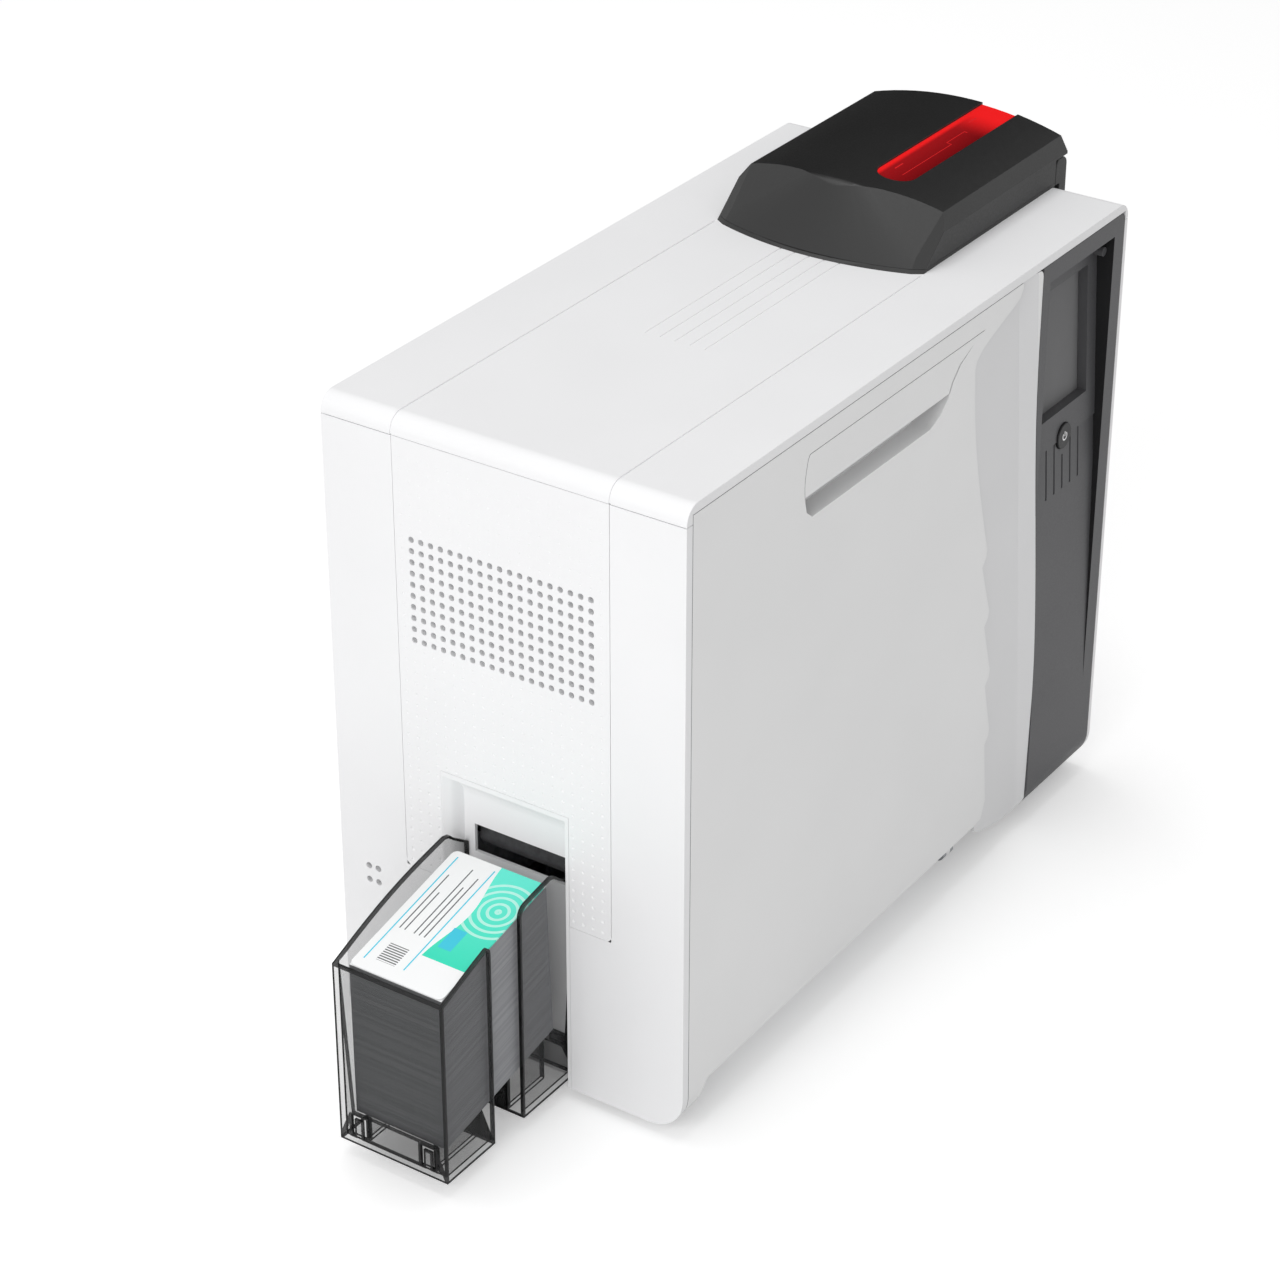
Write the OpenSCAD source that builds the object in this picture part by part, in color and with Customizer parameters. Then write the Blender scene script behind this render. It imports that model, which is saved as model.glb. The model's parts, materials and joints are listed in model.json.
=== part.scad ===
// Desktop card printer with a card feeder on top, a drop-down front door and a clip-on output hopper.
// Inside each module X runs from the output end to the control end, Y from the door to the back
// and Z up from the casing's lower edge. in_frame() then sets the origin under the middle of the whole.

/* [Casing] */
// Length of the casing between its end faces
body_l = 417; // [412:1:430]
// Width of the casing from the door to the back
body_w = 205; // [203:1:220]
// Height of the casing above its lower edge
body_h = 343; // [341:1:360]
// Wall thickness of the white mouldings
wall = 2.5; // [2:0.1:3]
// Radius along the two upper end edges
end_round = 9; // [6:0.5:9]
// Height of the top cover's skirt down to the parting line
skirt_h = 9.5; // [9:0.5:12]
// Radius of the lower front corner
toe_round = 20; // [18:1:22]
// Width of the white rim that frames the door
rim = 4.8; // [4.4:0.1:5.2]
// Width of the rim beside the control panel
end_rim = 2.8; // [2.6:0.1:3.4]
// Gap at the seams between mouldings
seam = 0.4; // [0.3:0.1:0.6]
// Distance of the two styling grooves from the front and the back
groove_in = 41.2; // [40:0.2:43]
// Width of the styling grooves
groove_w = 1; // [0.6:0.1:1.4]
// Depth of the styling grooves
groove_d = 0.6; // [0.4:0.1:1]

/* [Vent grille] */
// Columns of vent holes
vent_cols = 19; // [5:1:19]
// Rows of vent holes
vent_rows = 10; // [3:1:12]
// Spacing of the columns
vent_px = 5.68; // [5:0.02:5.9]
// Spacing of the rows
vent_pz = 6; // [5:0.1:6.2]
// Diameter of a vent hole
vent_d = 3.3; // [2.5:0.1:4]
// Height of the top row of vent holes
vent_z = 281.4; // [270:0.2:285]
// Height of the vent panel's lower edge
vent_floor = 97; // [90:1:105]
// Thickness of the vent panel
vent_t = 1.6; // [1.2:0.1:2]

/* [Card and card path] */
// Length of a card
card_l = 85.6; // [85:0.1:86]
// Width of a card
card_w = 54; // [53.5:0.1:54.5]
// Thickness of a card
card_t = 0.76; // [0.5:0.02:0.9]
// Corner radius of a card
card_r = 3.2; // [2.5:0.1:4]
// Height of the card path
path_z = 127.5; // [126:0.5:130]
// Distance of the card path's centre line from the front
path_y = 98.8; // [98:0.2:100]
// Height of the stack of blank cards in the feeder
blanks_h = 34; // [10:1:100]

/* [Output pocket and hopper] */
// Lower front edge of the pocket across the body
pocket_y = 67.8; // [67:0.1:68.4]
// Width of the pocket at the end face
pocket_w = 72.6; // [71:0.2:76]
// Height of the pocket at the end face
pocket_h = 157; // [152:1:162]
// Depth of the pocket
pocket_d = 8; // [7:0.5:9]
// Height of the card slot
slot_h = 16; // [12:0.5:18]
// Reach of the hopper beyond the end face
hopper_reach = 97.7; // [97:0.1:110]
// Height of the hopper's floor above the casing's lower edge
hopper_lift = 3.7; // [2:0.1:6]
// Height of the hopper's outer rim
hopper_rim = 106; // [100:1:110]
// Slope of the hopper's rim up to the printer, in degrees
hopper_slope = 11.9; // [9:0.1:13]
// Wall thickness of the hopper
hopper_t = 2; // [1.6:0.1:2.4]
// Start of the finger gap from the end face
gap_near = 36; // [34:1:44]
// Width of the finger gap
gap_w = 23.6; // [18:0.2:26]
// Height of the stack of printed cards
printed_h = 86; // [40:1:90]

/* [Door] */
// Thickness of the door's skin
door_skin = 2.4; // [2:0.1:3]
// Depth of the door's turned edges
door_deep = 13; // [12:0.5:14]
// Width left for the control panel at the foot of the door
panel_w = 74; // [71:1:77]
// Waist by which the door narrows towards its top
door_waist = 17.5; // [12:0.5:20]
// Height of the raised underside of the door at the output end
door_sill = 21.5; // [21:0.5:23]
// Rise of the underside towards the control end
sill_rise = 4.8; // [2:0.2:6]
// Left end of the handle
grip_x = 101; // [96:1:106]
// Length of the handle's upper edge
grip_l = 166; // [150:1:170]
// Gap from the top of the casing to the handle's upper edge
grip_drop = 16; // [14:1:20]
// Height of the handle and its hollow
grip_h = 34; // [30:1:40]
// Height of the handle's pull flap
flap_h = 21.5; // [18:0.5:24]
// Depth of the facet band at its crease
crease_d = 2.5; // [1.5:0.1:3]

/* [Control panel] */
// Width of the panel's frame on its right side
frame_w = 10.5; // [8:0.5:13]
// Depth of the recess at its upper end
recess_d = 10.3; // [9:0.1:13]
// Width of the display window
lcd_w = 52; // [48:1:54]
// Height of the display window
lcd_h = 72; // [64:1:74]
// Height of the display's lower edge
lcd_z = 241; // [240:1:244]
// Diameter of the power button
button_d = 14.5; // [13:0.5:16]
// Height of the power button
button_z = 225; // [222:1:226]
// Travel of the power button
button_travel = 1.2; // [0.8:0.1:1.6]

/* [Card feeder] */
// Length of the feeder
feed_l = 162.5; // [158:0.5:166]
// Overhang of the feeder beyond the control end
feed_over = 7.5; // [7:0.5:9]
// Height of the feeder above the casing
feed_h = 30.5; // [30:0.5:36]
// Radius of the arched roof
roof_r = 190; // [180:5:230]
// Radius of the bowed front in plan
bow_r = 198; // [180:2:220]
// Slope of the bowed front, run per unit of rise
bow_run = 1.3; // [1.1:0.05:1.4]
// Wall thickness of the feeder's lid
lid_t = 2.2; // [1.8:0.1:2.6]
// Width of the red window
window_w = 25; // [20:0.5:28]
// Middle of the red window across the body
window_y = 83; // [80:0.5:86]
// Length of the red window up to the control end
window_l = 116.5; // [108:0.5:120]

/* [Chassis] */
// Distance of the chassis plate from the front
plate_y = 138; // [136:0.5:142]
// Thickness of the chassis plate
plate_t = 2; // [1.5:0.1:2.5]
// Distance of the front bearing plate from the front
side_y = 58; // [57:0.5:60]
// Thickness of the base pan
pan_t = 2; // [1.5:0.1:3]
// Height of a rubber foot below the casing
foot_h = 5; // [4:0.5:8]
// Diameter of a rubber foot
foot_d = 18; // [14:1:22]

/* [Print engine] */
// Diameter of the transport rollers
roller_d = 14; // [13:0.5:14.5]
// Diameter of the roller shafts
shaft_d = 6; // [5:0.5:7]
// Radial clearance of a shaft in its bearing
bearing_gap = 0.05; // [0.02:0.01:0.08]
// Diameter of the print platen
platen_d = 24; // [22:1:26]
// Diameter of the heated roller
heat_d = 22; // [20:1:24]
// Diameter of the full ribbon roll
ribbon_d = 52; // [44:1:54]
// Diameter of the full film roll
film_d = 56; // [48:1:58]
// Diameter of a spool's core
core_d = 25; // [22:1:28]
// Width of the ribbon and of the film
web_w = 60; // [58:1:61]
// Thickness of the ribbon and of the film
web_t = 0.4; // [0.3:0.05:0.5]
// Teeth of the motor pinion
pinion_teeth = 14; // [12:1:16]
// Teeth of the drive gear
gear_teeth = 42; // [38:1:44]
// Module of the drive gears
gear_m = 1.25; // [1.1:0.05:1.3]

/* [Hidden] */

$fn = 64;
eps = 0.01;
fit = 0.3;                       // air between pieces that move apart or only lie near each other

shell_white = "#f4f5f6";
shell_grey = "#c9cacc";
frame_grey = "#5d5d5f";
feeder_black = "#2b2b2c";
smoke = "#6d6f7080";
steel = "#b9bcbf";
rubber = "#2e2e30";
board_green = "#2f6b45";

// ---- placing ----
feed_end = body_l + feed_over;
feed_x = feed_end - feed_l;
door_reach = body_l - panel_w;
centre_x = (feed_end - hopper_reach) / 2;
module in_frame() translate([-centre_x, -body_w / 2, foot_h]) children();
// Flat outlines drawn in X and Z, Y and Z, or X and Y, pushed out between two stations.
module along_y(y0, y1) translate([0, y1, 0]) rotate([90, 0, 0]) linear_extrude(y1 - y0) children();
module along_x(x0, x1) translate([x0, 0, 0]) rotate([90, 0, 90]) linear_extrude(x1 - x0) children();
module along_z(z0, z1) translate([0, 0, z0]) linear_extrude(z1 - z0) children();
module block(low, high) translate(low) cube(high - low);
module rod_x(y, z, x0, x1, d) translate([x0, y, z]) rotate([0, 90, 0]) cylinder(d = d, h = x1 - x0);
module rod_y(at, y0, y1, d) translate([at[0], y1, at[1]]) rotate([90, 0, 0]) cylinder(d = d, h = y1 - y0);
module rod_z(x, y, z0, z1, d) translate([x, y, z0]) cylinder(d = d, h = z1 - z0);
module rounded(low, high, r) {
    for (x = [low.x + r, high.x - r], y = [low.y + r, high.y - r]) translate([x, y]) circle(r);
    translate([low.x + r, low.y]) square([high.x - low.x - 2 * r, high.y - low.y]);
    translate([low.x, low.y + r]) square([high.x - low.x, high.y - low.y - 2 * r]);
}
function ease(t) = let (u = max(0, min(1, t))) u * u * (3 - 2 * u);

// ---- shared places ----
part_z = body_h - skirt_h;                    // parting line under the top cover
groove_back = body_w - groove_in;
end_t = wall + 0.7;                           // thickness of the end panels
mid_y = body_w / 2;
slot_w = card_w + 3;
pocket_back = pocket_y + pocket_w;
chute_t = 2;                                  // wall of the moulded exit chute
panel_top = body_h - rim - seam;              // upper edge of the door and the control panel
panel_end = body_l - end_rim - seam;
lower_edge = 0.5;                             // panels end this far above the casing's lower edge
pan_top = lower_edge + pan_t;
rear_in = body_w - wall - seam;               // inner side of the rear panel
turned_w = 12;                                // turned edges that the rear panel is screwed to

module casing_ends(inset) {
    r = end_round - inset;
    translate([inset, -20]) square([body_l - 2 * inset, body_h - end_round + 20]);
    translate([end_round, 0]) square([body_l - 2 * end_round, body_h - inset]);
    for (x = [end_round, body_l - end_round]) translate([x, body_h - end_round]) circle(r);
}

module side_outline(inset) {
    intersection() {
        translate([inset, inset]) square([body_w - 2 * inset, body_h - 2 * inset]);
        union() {
            translate([toe_round, toe_round]) circle(toe_round - inset);
            translate([toe_round, 0]) square([body_w, body_h]);
            translate([0, toe_round]) square([body_w, body_h]);
        }
    }
}

// ---- white casing ----
module groove_ring(y, x_end) {
    along_y(y - groove_w / 2, y + groove_w / 2) difference() {
        casing_ends(-1);
        casing_ends(groove_d);
        translate([x_end, -30]) square([body_l, body_h + 50]);
    }
}

module styling_slot(x0, x1, y) {
    along_z(body_h - groove_d * 0.7, body_h + 1) {
        translate([x0, y]) circle(groove_w / 2);
        translate([x0, y - groove_w / 2]) square([x1 - x0, groove_w]);
    }
}

module shaft_hole(grow, z0, z1) {
    block([shaft_x - grow, shaft_y - grow, z0], [shaft_x + shaft_l + grow, shaft_y + shaft_w + grow, z1]);
}

module top_cover() color(shell_white) in_frame() difference() {
    along_y(0, body_w) intersection() {
        casing_ends(0);
        translate([-1, part_z]) square([body_l + 2, skirt_h + 1]);
    }
    along_y(wall, body_w - wall) intersection() {
        casing_ends(wall);
        translate([-1, part_z - 1]) square([body_l + 2, skirt_h + 2]);
    }
    block([rim, -1, part_z - 1], [body_l - end_rim, wall + 1, body_h - rim]);
    for (y = [groove_in, groove_back]) groove_ring(y, feed_x + 12);
    for (i = [-2:2]) styling_slot(feed_x - 121, feed_x + 6, path_y + 1.2 + i * 8.6);
    shaft_hole(shaft_t + fit, body_h - 2 * wall, body_h + 1);
}

module vent_outline(gap) {
    rounded([groove_in + gap, vent_floor + gap], [groove_back - gap, part_z + 20], 4);
}

module pocket_outline(grow) {
    translate([pocket_y - grow, -1]) square([pocket_w + 2 * grow, pocket_h + 1 + grow]);
}

module turned_edge(x0, x1) {
    block([x0, rear_in - 2, 30], [x1, rear_in, part_z - 30]);
}

module left_end_panel() color(shell_white) in_frame() difference() {
    union() {
        along_x(0, end_t) side_outline(0);
        along_x(0, rim) difference() {
            side_outline(0);
            side_outline(wall);
        }
        turned_edge(end_t - eps, end_t + turned_w);
    }
    block([-1, -1, part_z - seam], [rim + 20, body_w + 1, body_h + 1]);
    block([end_t, rear_in, -1], [rim + 20, body_w + 1, body_h]);
    along_x(-1, vent_t + 0.1) vent_outline(0);
    block([-1, groove_in + 6, vent_z - vent_pz * (vent_rows - 1) - 12],
        [end_t + 1, groove_back - 6, vent_z + 10]);
    along_x(-1, rim + 1) pocket_outline(chute_t + 0.1);
    block([end_t, kick_y - seam, -1], [rim + 1, body_w, pan_top + seam]);
    // four small holes low on the rear side of the panel
    for (y = [17, 22.7], z = [78.7, 86.8]) rod_x(body_w - y, z, -1, end_t + 1, 3.5);
    for (p = rear_screws) rod_y(p, rear_in - 5, body_w + 1, screw_d);
}

module vent_panel() color(shell_white) in_frame() difference() {
    along_x(0, vent_t) intersection() {
        vent_outline(seam);
        square([body_w, part_z - seam]);
    }
    along_x(-1, vent_t + 1) pocket_outline(chute_t + 0.1);
    for (i = [0:vent_cols - 1], j = [0:vent_rows - 1])
        rod_x(mid_y + 0.3 + (i - (vent_cols - 1) / 2) * vent_px, vent_z - j * vent_pz, -1, vent_t + 1, vent_d);
}

// The pocket is hollowed on three sides: its top and rear side sweep in towards the back.
module pocket_space() {
    sweep = 12;
    intersection() {
        along_y(pocket_y - 1, pocket_back + 1) {
            translate([-1, -1]) square([pocket_d + 1, pocket_h + 1 - sweep]);
            intersection() {
                translate([-1, 0]) square([pocket_d + 1, pocket_h + 1]);
                translate([pocket_d - sweep, pocket_h - sweep]) circle(sweep);
            }
            translate([-1, pocket_h - sweep - 1]) square([1 + eps, sweep + 1]);
        }
        along_z(-1, pocket_h + 1) polygon([
            [-1, pocket_y], [-1, pocket_back], [0, pocket_back], [pocket_d * 0.35, pocket_back - 4.4],
            [pocket_d, pocket_back - 7], [pocket_d, pocket_y + 0.4], [0, pocket_y]
        ]);
    }
}

module card_exit_chute() color(shell_white) in_frame() difference() {
    block([0, pocket_y - chute_t, lower_edge], [pocket_d + chute_t, pocket_back + chute_t, pocket_h + chute_t]);
    pocket_space();
    block([pocket_d - 1, path_y - slot_w / 2, path_z + 2 - slot_h],
        [pocket_d + chute_t + 1, path_y + slot_w / 2, path_z + 2]);
    // slots that the hopper's pegs hang in
    for (y = peg_places) block([pocket_d - 1, y - fit, peg_z - fit],
        [pocket_d + chute_t + 1, y + peg_w + fit, peg_z + peg_h + fit]);
}

module right_end_panel() color(shell_white) in_frame() difference() {
    union() {
        along_x(body_l - end_rim, body_l) side_outline(0);
        turned_edge(body_l - end_rim - turned_w, body_l - end_rim + eps);
    }
    block([body_l - 20, -1, part_z - seam], [body_l + 1, body_w + 1, body_h + 1]);
    block([body_l - 20, rear_in, -1], [body_l - end_rim, body_w + 1, body_h]);
    for (i = [0:9]) block([body_l - end_rim - 1, 70, 60 + i * 8], [body_l + 1, body_w - 50, 64 + i * 8]);
    for (p = rear_screws) rod_y(p, rear_in - 5, body_w + 1, screw_d);
}

inlet_x = body_l - 77;
inlet_z = 30;
inlet_w = 28;
inlet_h = 21;
ports_x = 0.355 * body_l;
ports_w = 46;
ports_h = 16;
screw_d = 3.4;
screw_head = 6.4;
rear_screws = [for (x = [end_t + turned_w / 2, body_l - end_rim - turned_w / 2], z = [45, 165, 285]) [x, z]];

module rear_panel() color(shell_white) in_frame() difference() {
    block([end_t + seam, body_w - wall, lower_edge], [body_l - end_rim - seam, body_w, part_z - seam]);
    for (x = [0.15, 0.7] * body_l, i = [0:11])
        block([x, body_w - wall - 1, vent_z - 92 + i * 8], [x + 70, body_w + 1, vent_z - 88 + i * 8]);
    block([inlet_x, body_w - wall - 1, inlet_z], [inlet_x + inlet_w, body_w + 1, inlet_z + inlet_h]);
    block([ports_x, body_w - wall - 1, inlet_z], [ports_x + ports_w, body_w + 1, inlet_z + ports_h]);
    for (p = rear_screws) {
        rod_y(p, body_w - wall - 1, body_w + 1, screw_d);
        rod_y(p, body_w - 1.6, body_w + 1, screw_head + 0.6);
    }
}

module panel_screws() color(steel) in_frame() for (p = rear_screws) {
    rod_y(p, body_w - 1.6, body_w - 0.2, screw_head);
    rod_y(p, rear_in - 6, body_w - 1.5, screw_d - 0.4);
}

// ---- base ----
hinge_y = 10;                                 // drop-down axis of the door
hinge_z = door_sill - 5;
hinge_d = 4;
ear_r = 4;
kick_y = door_sill + 14.5;                    // foot of the sloping kick plate
toe_w = 58;
foot_x = door_reach - toe_w;                  // the door's lower edge steps down here
ear_w = 3;
lug_w = 4;
ear_air = 0.3;
door_ears = [30, foot_x - 23];

module base_pan() color(steel) in_frame() difference() {
    x0 = end_t + seam;
    x1 = body_l - end_rim - seam;
    union() {
        difference() {
            block([x0, kick_y, lower_edge], [x1, rear_in, pan_top]);
            // the pan stops behind the exit chute
            block([0, pocket_y - chute_t - fit, 0],
                [pocket_d + chute_t + fit, pocket_back + chute_t + fit, 5]);
        }
        block([x0, kick_y, lower_edge], [x1, kick_y + pan_t, 12]);
        // kick plate that closes the undercut below the door
        along_x(24, foot_x - 5) polygon([[kick_y, 12 - eps], [kick_y + pan_t, 12 - eps],
            [hinge_y + 14, 26], [hinge_y + 12.5, 24.5]]);
        // ears that carry the door's pins, one on each side of each lug
        for (x = door_ears, s = [0, ear_w + lug_w + 2 * ear_air]) along_x(x + s, x + s + ear_w) {
            translate([hinge_y, hinge_z]) circle(ear_r);
            polygon([[hinge_y - 2, hinge_z - 3.4], [hinge_y + 2, hinge_z + 3.4], [hinge_y + 14, 22],
                [kick_y + 1, 12], [kick_y + 1, 5]]);
        }
    }
    for (x = door_ears) rod_x(hinge_y, hinge_z, x - 1, x + 2 * ear_w + lug_w + 2 * ear_air + 1, hinge_d);
    for (p = foot_places) rod_z(p.x, p.y, 0, pan_top + 1, 5.2);
}

foot_in = 34;                                 // feet's distance from the ends
foot_rear = 24;
foot_places = [for (x = [foot_in, body_l - foot_in], y = [kick_y + 16, body_w - foot_rear]) [x, y]];

module rubber_feet() color(rubber) in_frame() for (p = foot_places) translate([p.x, p.y, -foot_h]) {
    cylinder(d1 = foot_d - 3, d2 = foot_d, h = foot_h + lower_edge);
    cylinder(d = 5, h = foot_h + pan_top + 1.5);
}

// ---- front door ----
// Right edge of the door: an S-curve that runs out to door_reach at the bottom.
function door_edge(z) = door_reach - door_waist * ease((z - 70) / 230);

module door_front(inset) {
    steps = 24;
    low = 3 + inset;
    high = panel_top - inset;
    x0 = rim + seam + inset;
    corner = 4;
    right = door_edge(high) - seam / 2 - inset;
    polygon(concat(
        [for (i = [0:8]) [x0 + 4 + 14 * i / 8, low + (door_sill - 3) * ease(i / 8)]],
        [[foot_x + inset, door_sill + sill_rise + inset], [foot_x + 0.6 + inset, door_sill + inset],
            [foot_x + 7, 18 + inset], [foot_x + 18, 15 + inset], [foot_x + 33, 11.5 + inset]],
        [for (i = [0:steps]) let (z = low + 3 + (high - low - 3 - corner) * i / steps)
            [door_edge(z) - seam / 2 - inset, z]],
        [for (a = [30, 60, 90]) [right - corner + corner * cos(a), high - corner + corner * sin(a)]],
        [[x0, high], [x0, low]]
    ));
}

module door_side(inset) {
    intersection() {
        side_outline(inset);
        square([door_deep + 8, panel_top]);
    }
}

grip_z = body_h - grip_drop;
module grip_outline(inset) {
    x0 = grip_x + inset;
    x1 = grip_x + grip_l - 3 * inset;
    top = grip_z - inset;
    low = grip_z - grip_h + inset;
    polygon(concat(
        [[x0 + 1.5, top]],
        [for (i = [0:6]) [x0 - 2.5 * sin(i * 30), top - 2 - (grip_h - 6) * i / 6]],
        [[x0 + 5, low], [x1 - 52, low], [x1 - 42, low + 4], [x1 - 35, low + 10], [x1 - 31, low + 17],
            [x1 - 24, low + 24], [x1 - 12, top - 4], [x1, top]]
    ));
}

// Facet band along the door's right side. Its floor falls to a crease, beyond which a strip rises
// again towards the seam. The left edge of the band runs down in four steps like roof tiles.
crease_x = door_reach - 38.5;                 // upper end of the crease
crease_lean = 5.4;                            // degrees that the crease leans out towards the foot
band_top = panel_top - 3;
band_fall = 0.036;                            // fall of the band's floor towards the crease
strip_rise = 0.16;
tile_h = 38;
module band_outline() {
    polygon(concat(
        [[crease_x - 0.3, body_h], [crease_x, band_top], [crease_x - 3, band_top - 4],
            [crease_x - 8.7, band_top - 6.6], [crease_x - 29.4, band_top - 13.8],
            [crease_x - 39.6, band_top - 18.2], [crease_x - 44.9, band_top - 22.4],
            [crease_x - 46.4, band_top - 26.5]],
        [for (i = [0:8]) [crease_x - 45 + 21.5 * pow(i / 8, 1.4), band_top - 44 - 93 * i / 8]],
        [for (i = [0:3]) let (x = crease_x - 27.7 + 6.4 * i - 0.65 * i * i, z = band_top - 146.5 - tile_h * i)
            each [[x + 4.4, z + 8.3], [x + 3.8, z + 4.2], [x, z]]],
        [[crease_x - 10.1, door_sill + 16], [crease_x - 14, door_sill + 6], [foot_x - 1, door_sill + 5],
            [foot_x - 1, -5], [door_reach + 10, -5], [door_reach + 10, body_h]]
    ));
}

module band_cut() intersection() {
    reach = 70;
    along_y(-1, 8) band_outline();
    translate([crease_x, 0, band_top]) rotate([0, -crease_lean, 0])
        along_z(-body_h - 20, 30) polygon([[-reach, -2], [-reach, crease_d - reach * band_fall],
            [0, crease_d], [20, crease_d - 20 * strip_rise], [20, -2]]);
}

flap_y = 3;                                   // pivot of the pull flap
flap_z = grip_z - 4;
flap_pin = 2.4;
rib_t = 1.6;
flap_x0 = grip_x + 3;
flap_x1 = grip_x + grip_l - 22;

module front_door() color(shell_grey) in_frame() {
    difference() {
        intersection() {
            along_y(0, door_deep + 8) door_front(0);
            along_x(0, body_l) door_side(0);
            union() {
                difference() {
                    along_x(0, body_l) side_outline(0);
                    along_x(-1, body_l + 1) side_outline(door_skin);
                }
                difference() {
                    block([0, 0, 0], [body_l, door_deep, body_h]);
                    along_y(-1, door_deep + 1) door_front(door_skin);
                }
                // ribs across the inside and the moulded box behind the handle
                for (x = [grip_x - 41, foot_x + 15]) block([x, 0, 0], [x + rib_t, door_deep - 4, body_h]);
                for (z = [0.32, 0.58] * body_h) block([0, 0, z], [body_l, door_deep - 4, z + rib_t]);
                block([grip_x - 7, 0, grip_z - grip_h - 3], [grip_x + grip_l + 3, door_deep, grip_z + 5]);
                // thicker skin behind the facet band
                block([crease_x - 50, 0, 0], [body_l, crease_d + door_skin, body_h]);
            }
        }
        band_cut();
        along_y(-1, door_deep - 2) grip_outline(0);
        rod_x(flap_y, flap_z, flap_x0 - 6, flap_x1 + 8, flap_pin + 2 * bearing_gap);
    }
    for (x = door_ears) difference() {
        along_x(x + ear_w + ear_air, x + ear_w + ear_air + lug_w) {
            translate([hinge_y, hinge_z]) circle(ear_r);
            translate([hinge_y - ear_r, hinge_z]) square([2 * ear_r, door_sill - hinge_z + 6]);
        }
        rod_x(hinge_y, hinge_z, x, x + 20, hinge_d + 2 * bearing_gap);
    }
}

module door_hinge_pins() color(steel) in_frame()
    for (x = door_ears) rod_x(hinge_y, hinge_z, x - 0.5, x + 2 * ear_w + lug_w + 2 * ear_air + 0.5, hinge_d);

module door_latch_flap() color(shell_grey) in_frame() {
    along_y(0, door_skin) intersection() {
        grip_outline(seam);
        translate([0, grip_z - flap_h]) square([body_l, flap_h]);
    }
    // rear rib, lower lip and the pin the flap turns on
    block([flap_x0 + 2, door_skin - eps, flap_z - 1.8], [flap_x1 - 2, flap_y + 1.6, flap_z + 1.8]);
    block([flap_x0 + 2, door_skin - eps, grip_z - flap_h], [flap_x1 - 15, door_skin + 2.5, grip_z - flap_h + 1.6]);
    rod_x(flap_y, flap_z, flap_x0 - 5.5, flap_x1 + 7.5, flap_pin);
}

// ---- control panel ----
recess_x = door_reach - door_waist + 8;       // left side of the recess
recess_end = panel_end - frame_w;
recess_low = 0.18 * body_h;
recess_bend = 0.571 * body_h;
recess_mid = recess_d * 0.29;
recess_top = panel_top - 10.5;
panel_t = 3;                                  // thickness of the recess's floor
panel_deep = recess_d + 10;
lcd_x = recess_x + 8;
lcd_sink = 5.5;                               // the display lies this far behind the recess's floor
board_y = recess_d + panel_t + 4.7;           // front face of the control board
board_z = recess_bend - 11;
button_x = (recess_x + recess_end) / 2;
function recess_y(z) = recess_mid + (z - recess_bend) / (recess_top - recess_bend) * (recess_d - recess_mid);
button_y = recess_y(button_z);
step_z = button_z - 1;                        // small step in the recess's floor below the display
step_end = recess_low + 50;
board_posts = [for (x = [recess_x + 4.5, recess_end - 3], z = [board_z + 5, lcd_z + lcd_h + 6]) [x, z]];

module control_outline(inset) {
    steps = 24;
    high = panel_top - inset;
    polygon(concat(
        [for (i = [0:steps]) let (z = lower_edge + (high - lower_edge) * i / steps)
            [door_edge(z) + seam / 2 + inset, z]],
        [[panel_end - 3 - inset, high], [panel_end - inset, high - 3], [panel_end - inset, lower_edge]]
    ));
}

// Side view of the recess: deep at the top and running out to nothing at the bottom.
module recess_side(sink) {
    polygon([[-5, recess_low], [sink, recess_low], [recess_mid + sink, recess_bend],
        [recess_d + sink, recess_top], [-5, recess_top]]);
}

// Side view of a slab that lies parallel to the recess's floor, from the sink front to back.
module display_side(z0, z1, front, back) {
    polygon([[recess_y(z0) + front, z0], [recess_y(z1) + front, z1], [recess_y(z1) + back, z1], [recess_y(z0) + back, z0]]);
}

module control_panel() color(frame_grey) in_frame() {
    difference() {
        union() {
            intersection() {
                along_y(0, panel_deep) control_outline(0);
                along_x(0, body_l) intersection() {
                    side_outline(0);
                    union() {
                        difference() {
                            side_outline(0);
                            side_outline(panel_t);
                        }
                        polygon([[0, recess_low - 20], [panel_t, recess_low - 20],
                            [recess_mid + panel_t, recess_bend], [recess_d + panel_t, recess_top],
                            [recess_d + panel_t, body_h], [0, body_h]]);
                    }
                }
            }
            // deep window frame for the display
            along_x(lcd_x - 2, lcd_x + lcd_w + 2) display_side(lcd_z - 2, lcd_z + lcd_h + 2, 0, lcd_sink);
        }
        along_x(recess_x, recess_end) recess_side(0);
        block([lcd_x, -1, lcd_z], [lcd_x + lcd_w, recess_d + 20, lcd_z + lcd_h]);
        rod_y([button_x, button_z], -1, recess_d + 20, button_d + 2 * fit);
        for (i = [-2:2]) along_x(button_x + i * 8.8 - 0.8, button_x + i * 8.8 + 0.8) intersection() {
            recess_side(1.2);
            translate([-5, step_z - 30]) square([recess_d + 20, i == 0 ? 20 : 29]);
        }
        // step below the display, which runs out to nothing
        along_x(recess_x, recess_end) polygon([[-5, step_z], [recess_y(step_z) + 0.8, step_z],
            [recess_mid + 0.6, recess_bend], [recess_mid * (step_end - recess_low) / (recess_bend - recess_low), step_end],
            [-5, step_end]]);
    }
    for (p = board_posts) rod_y(p, recess_mid + 1, board_y, 5);
}

module lcd_display() color("#6c6d6f") in_frame() {
    front = lcd_sink + 0.2;
    z0 = lcd_z - 1.5;
    z1 = lcd_z + lcd_h + 1.5;
    along_x(lcd_x - 1.5, lcd_x + lcd_w + 1.5) polygon([[recess_y(z0) + front, z0], [recess_y(z1) + front, z1],
        [board_y, z1], [board_y, z0]]);
}

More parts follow.
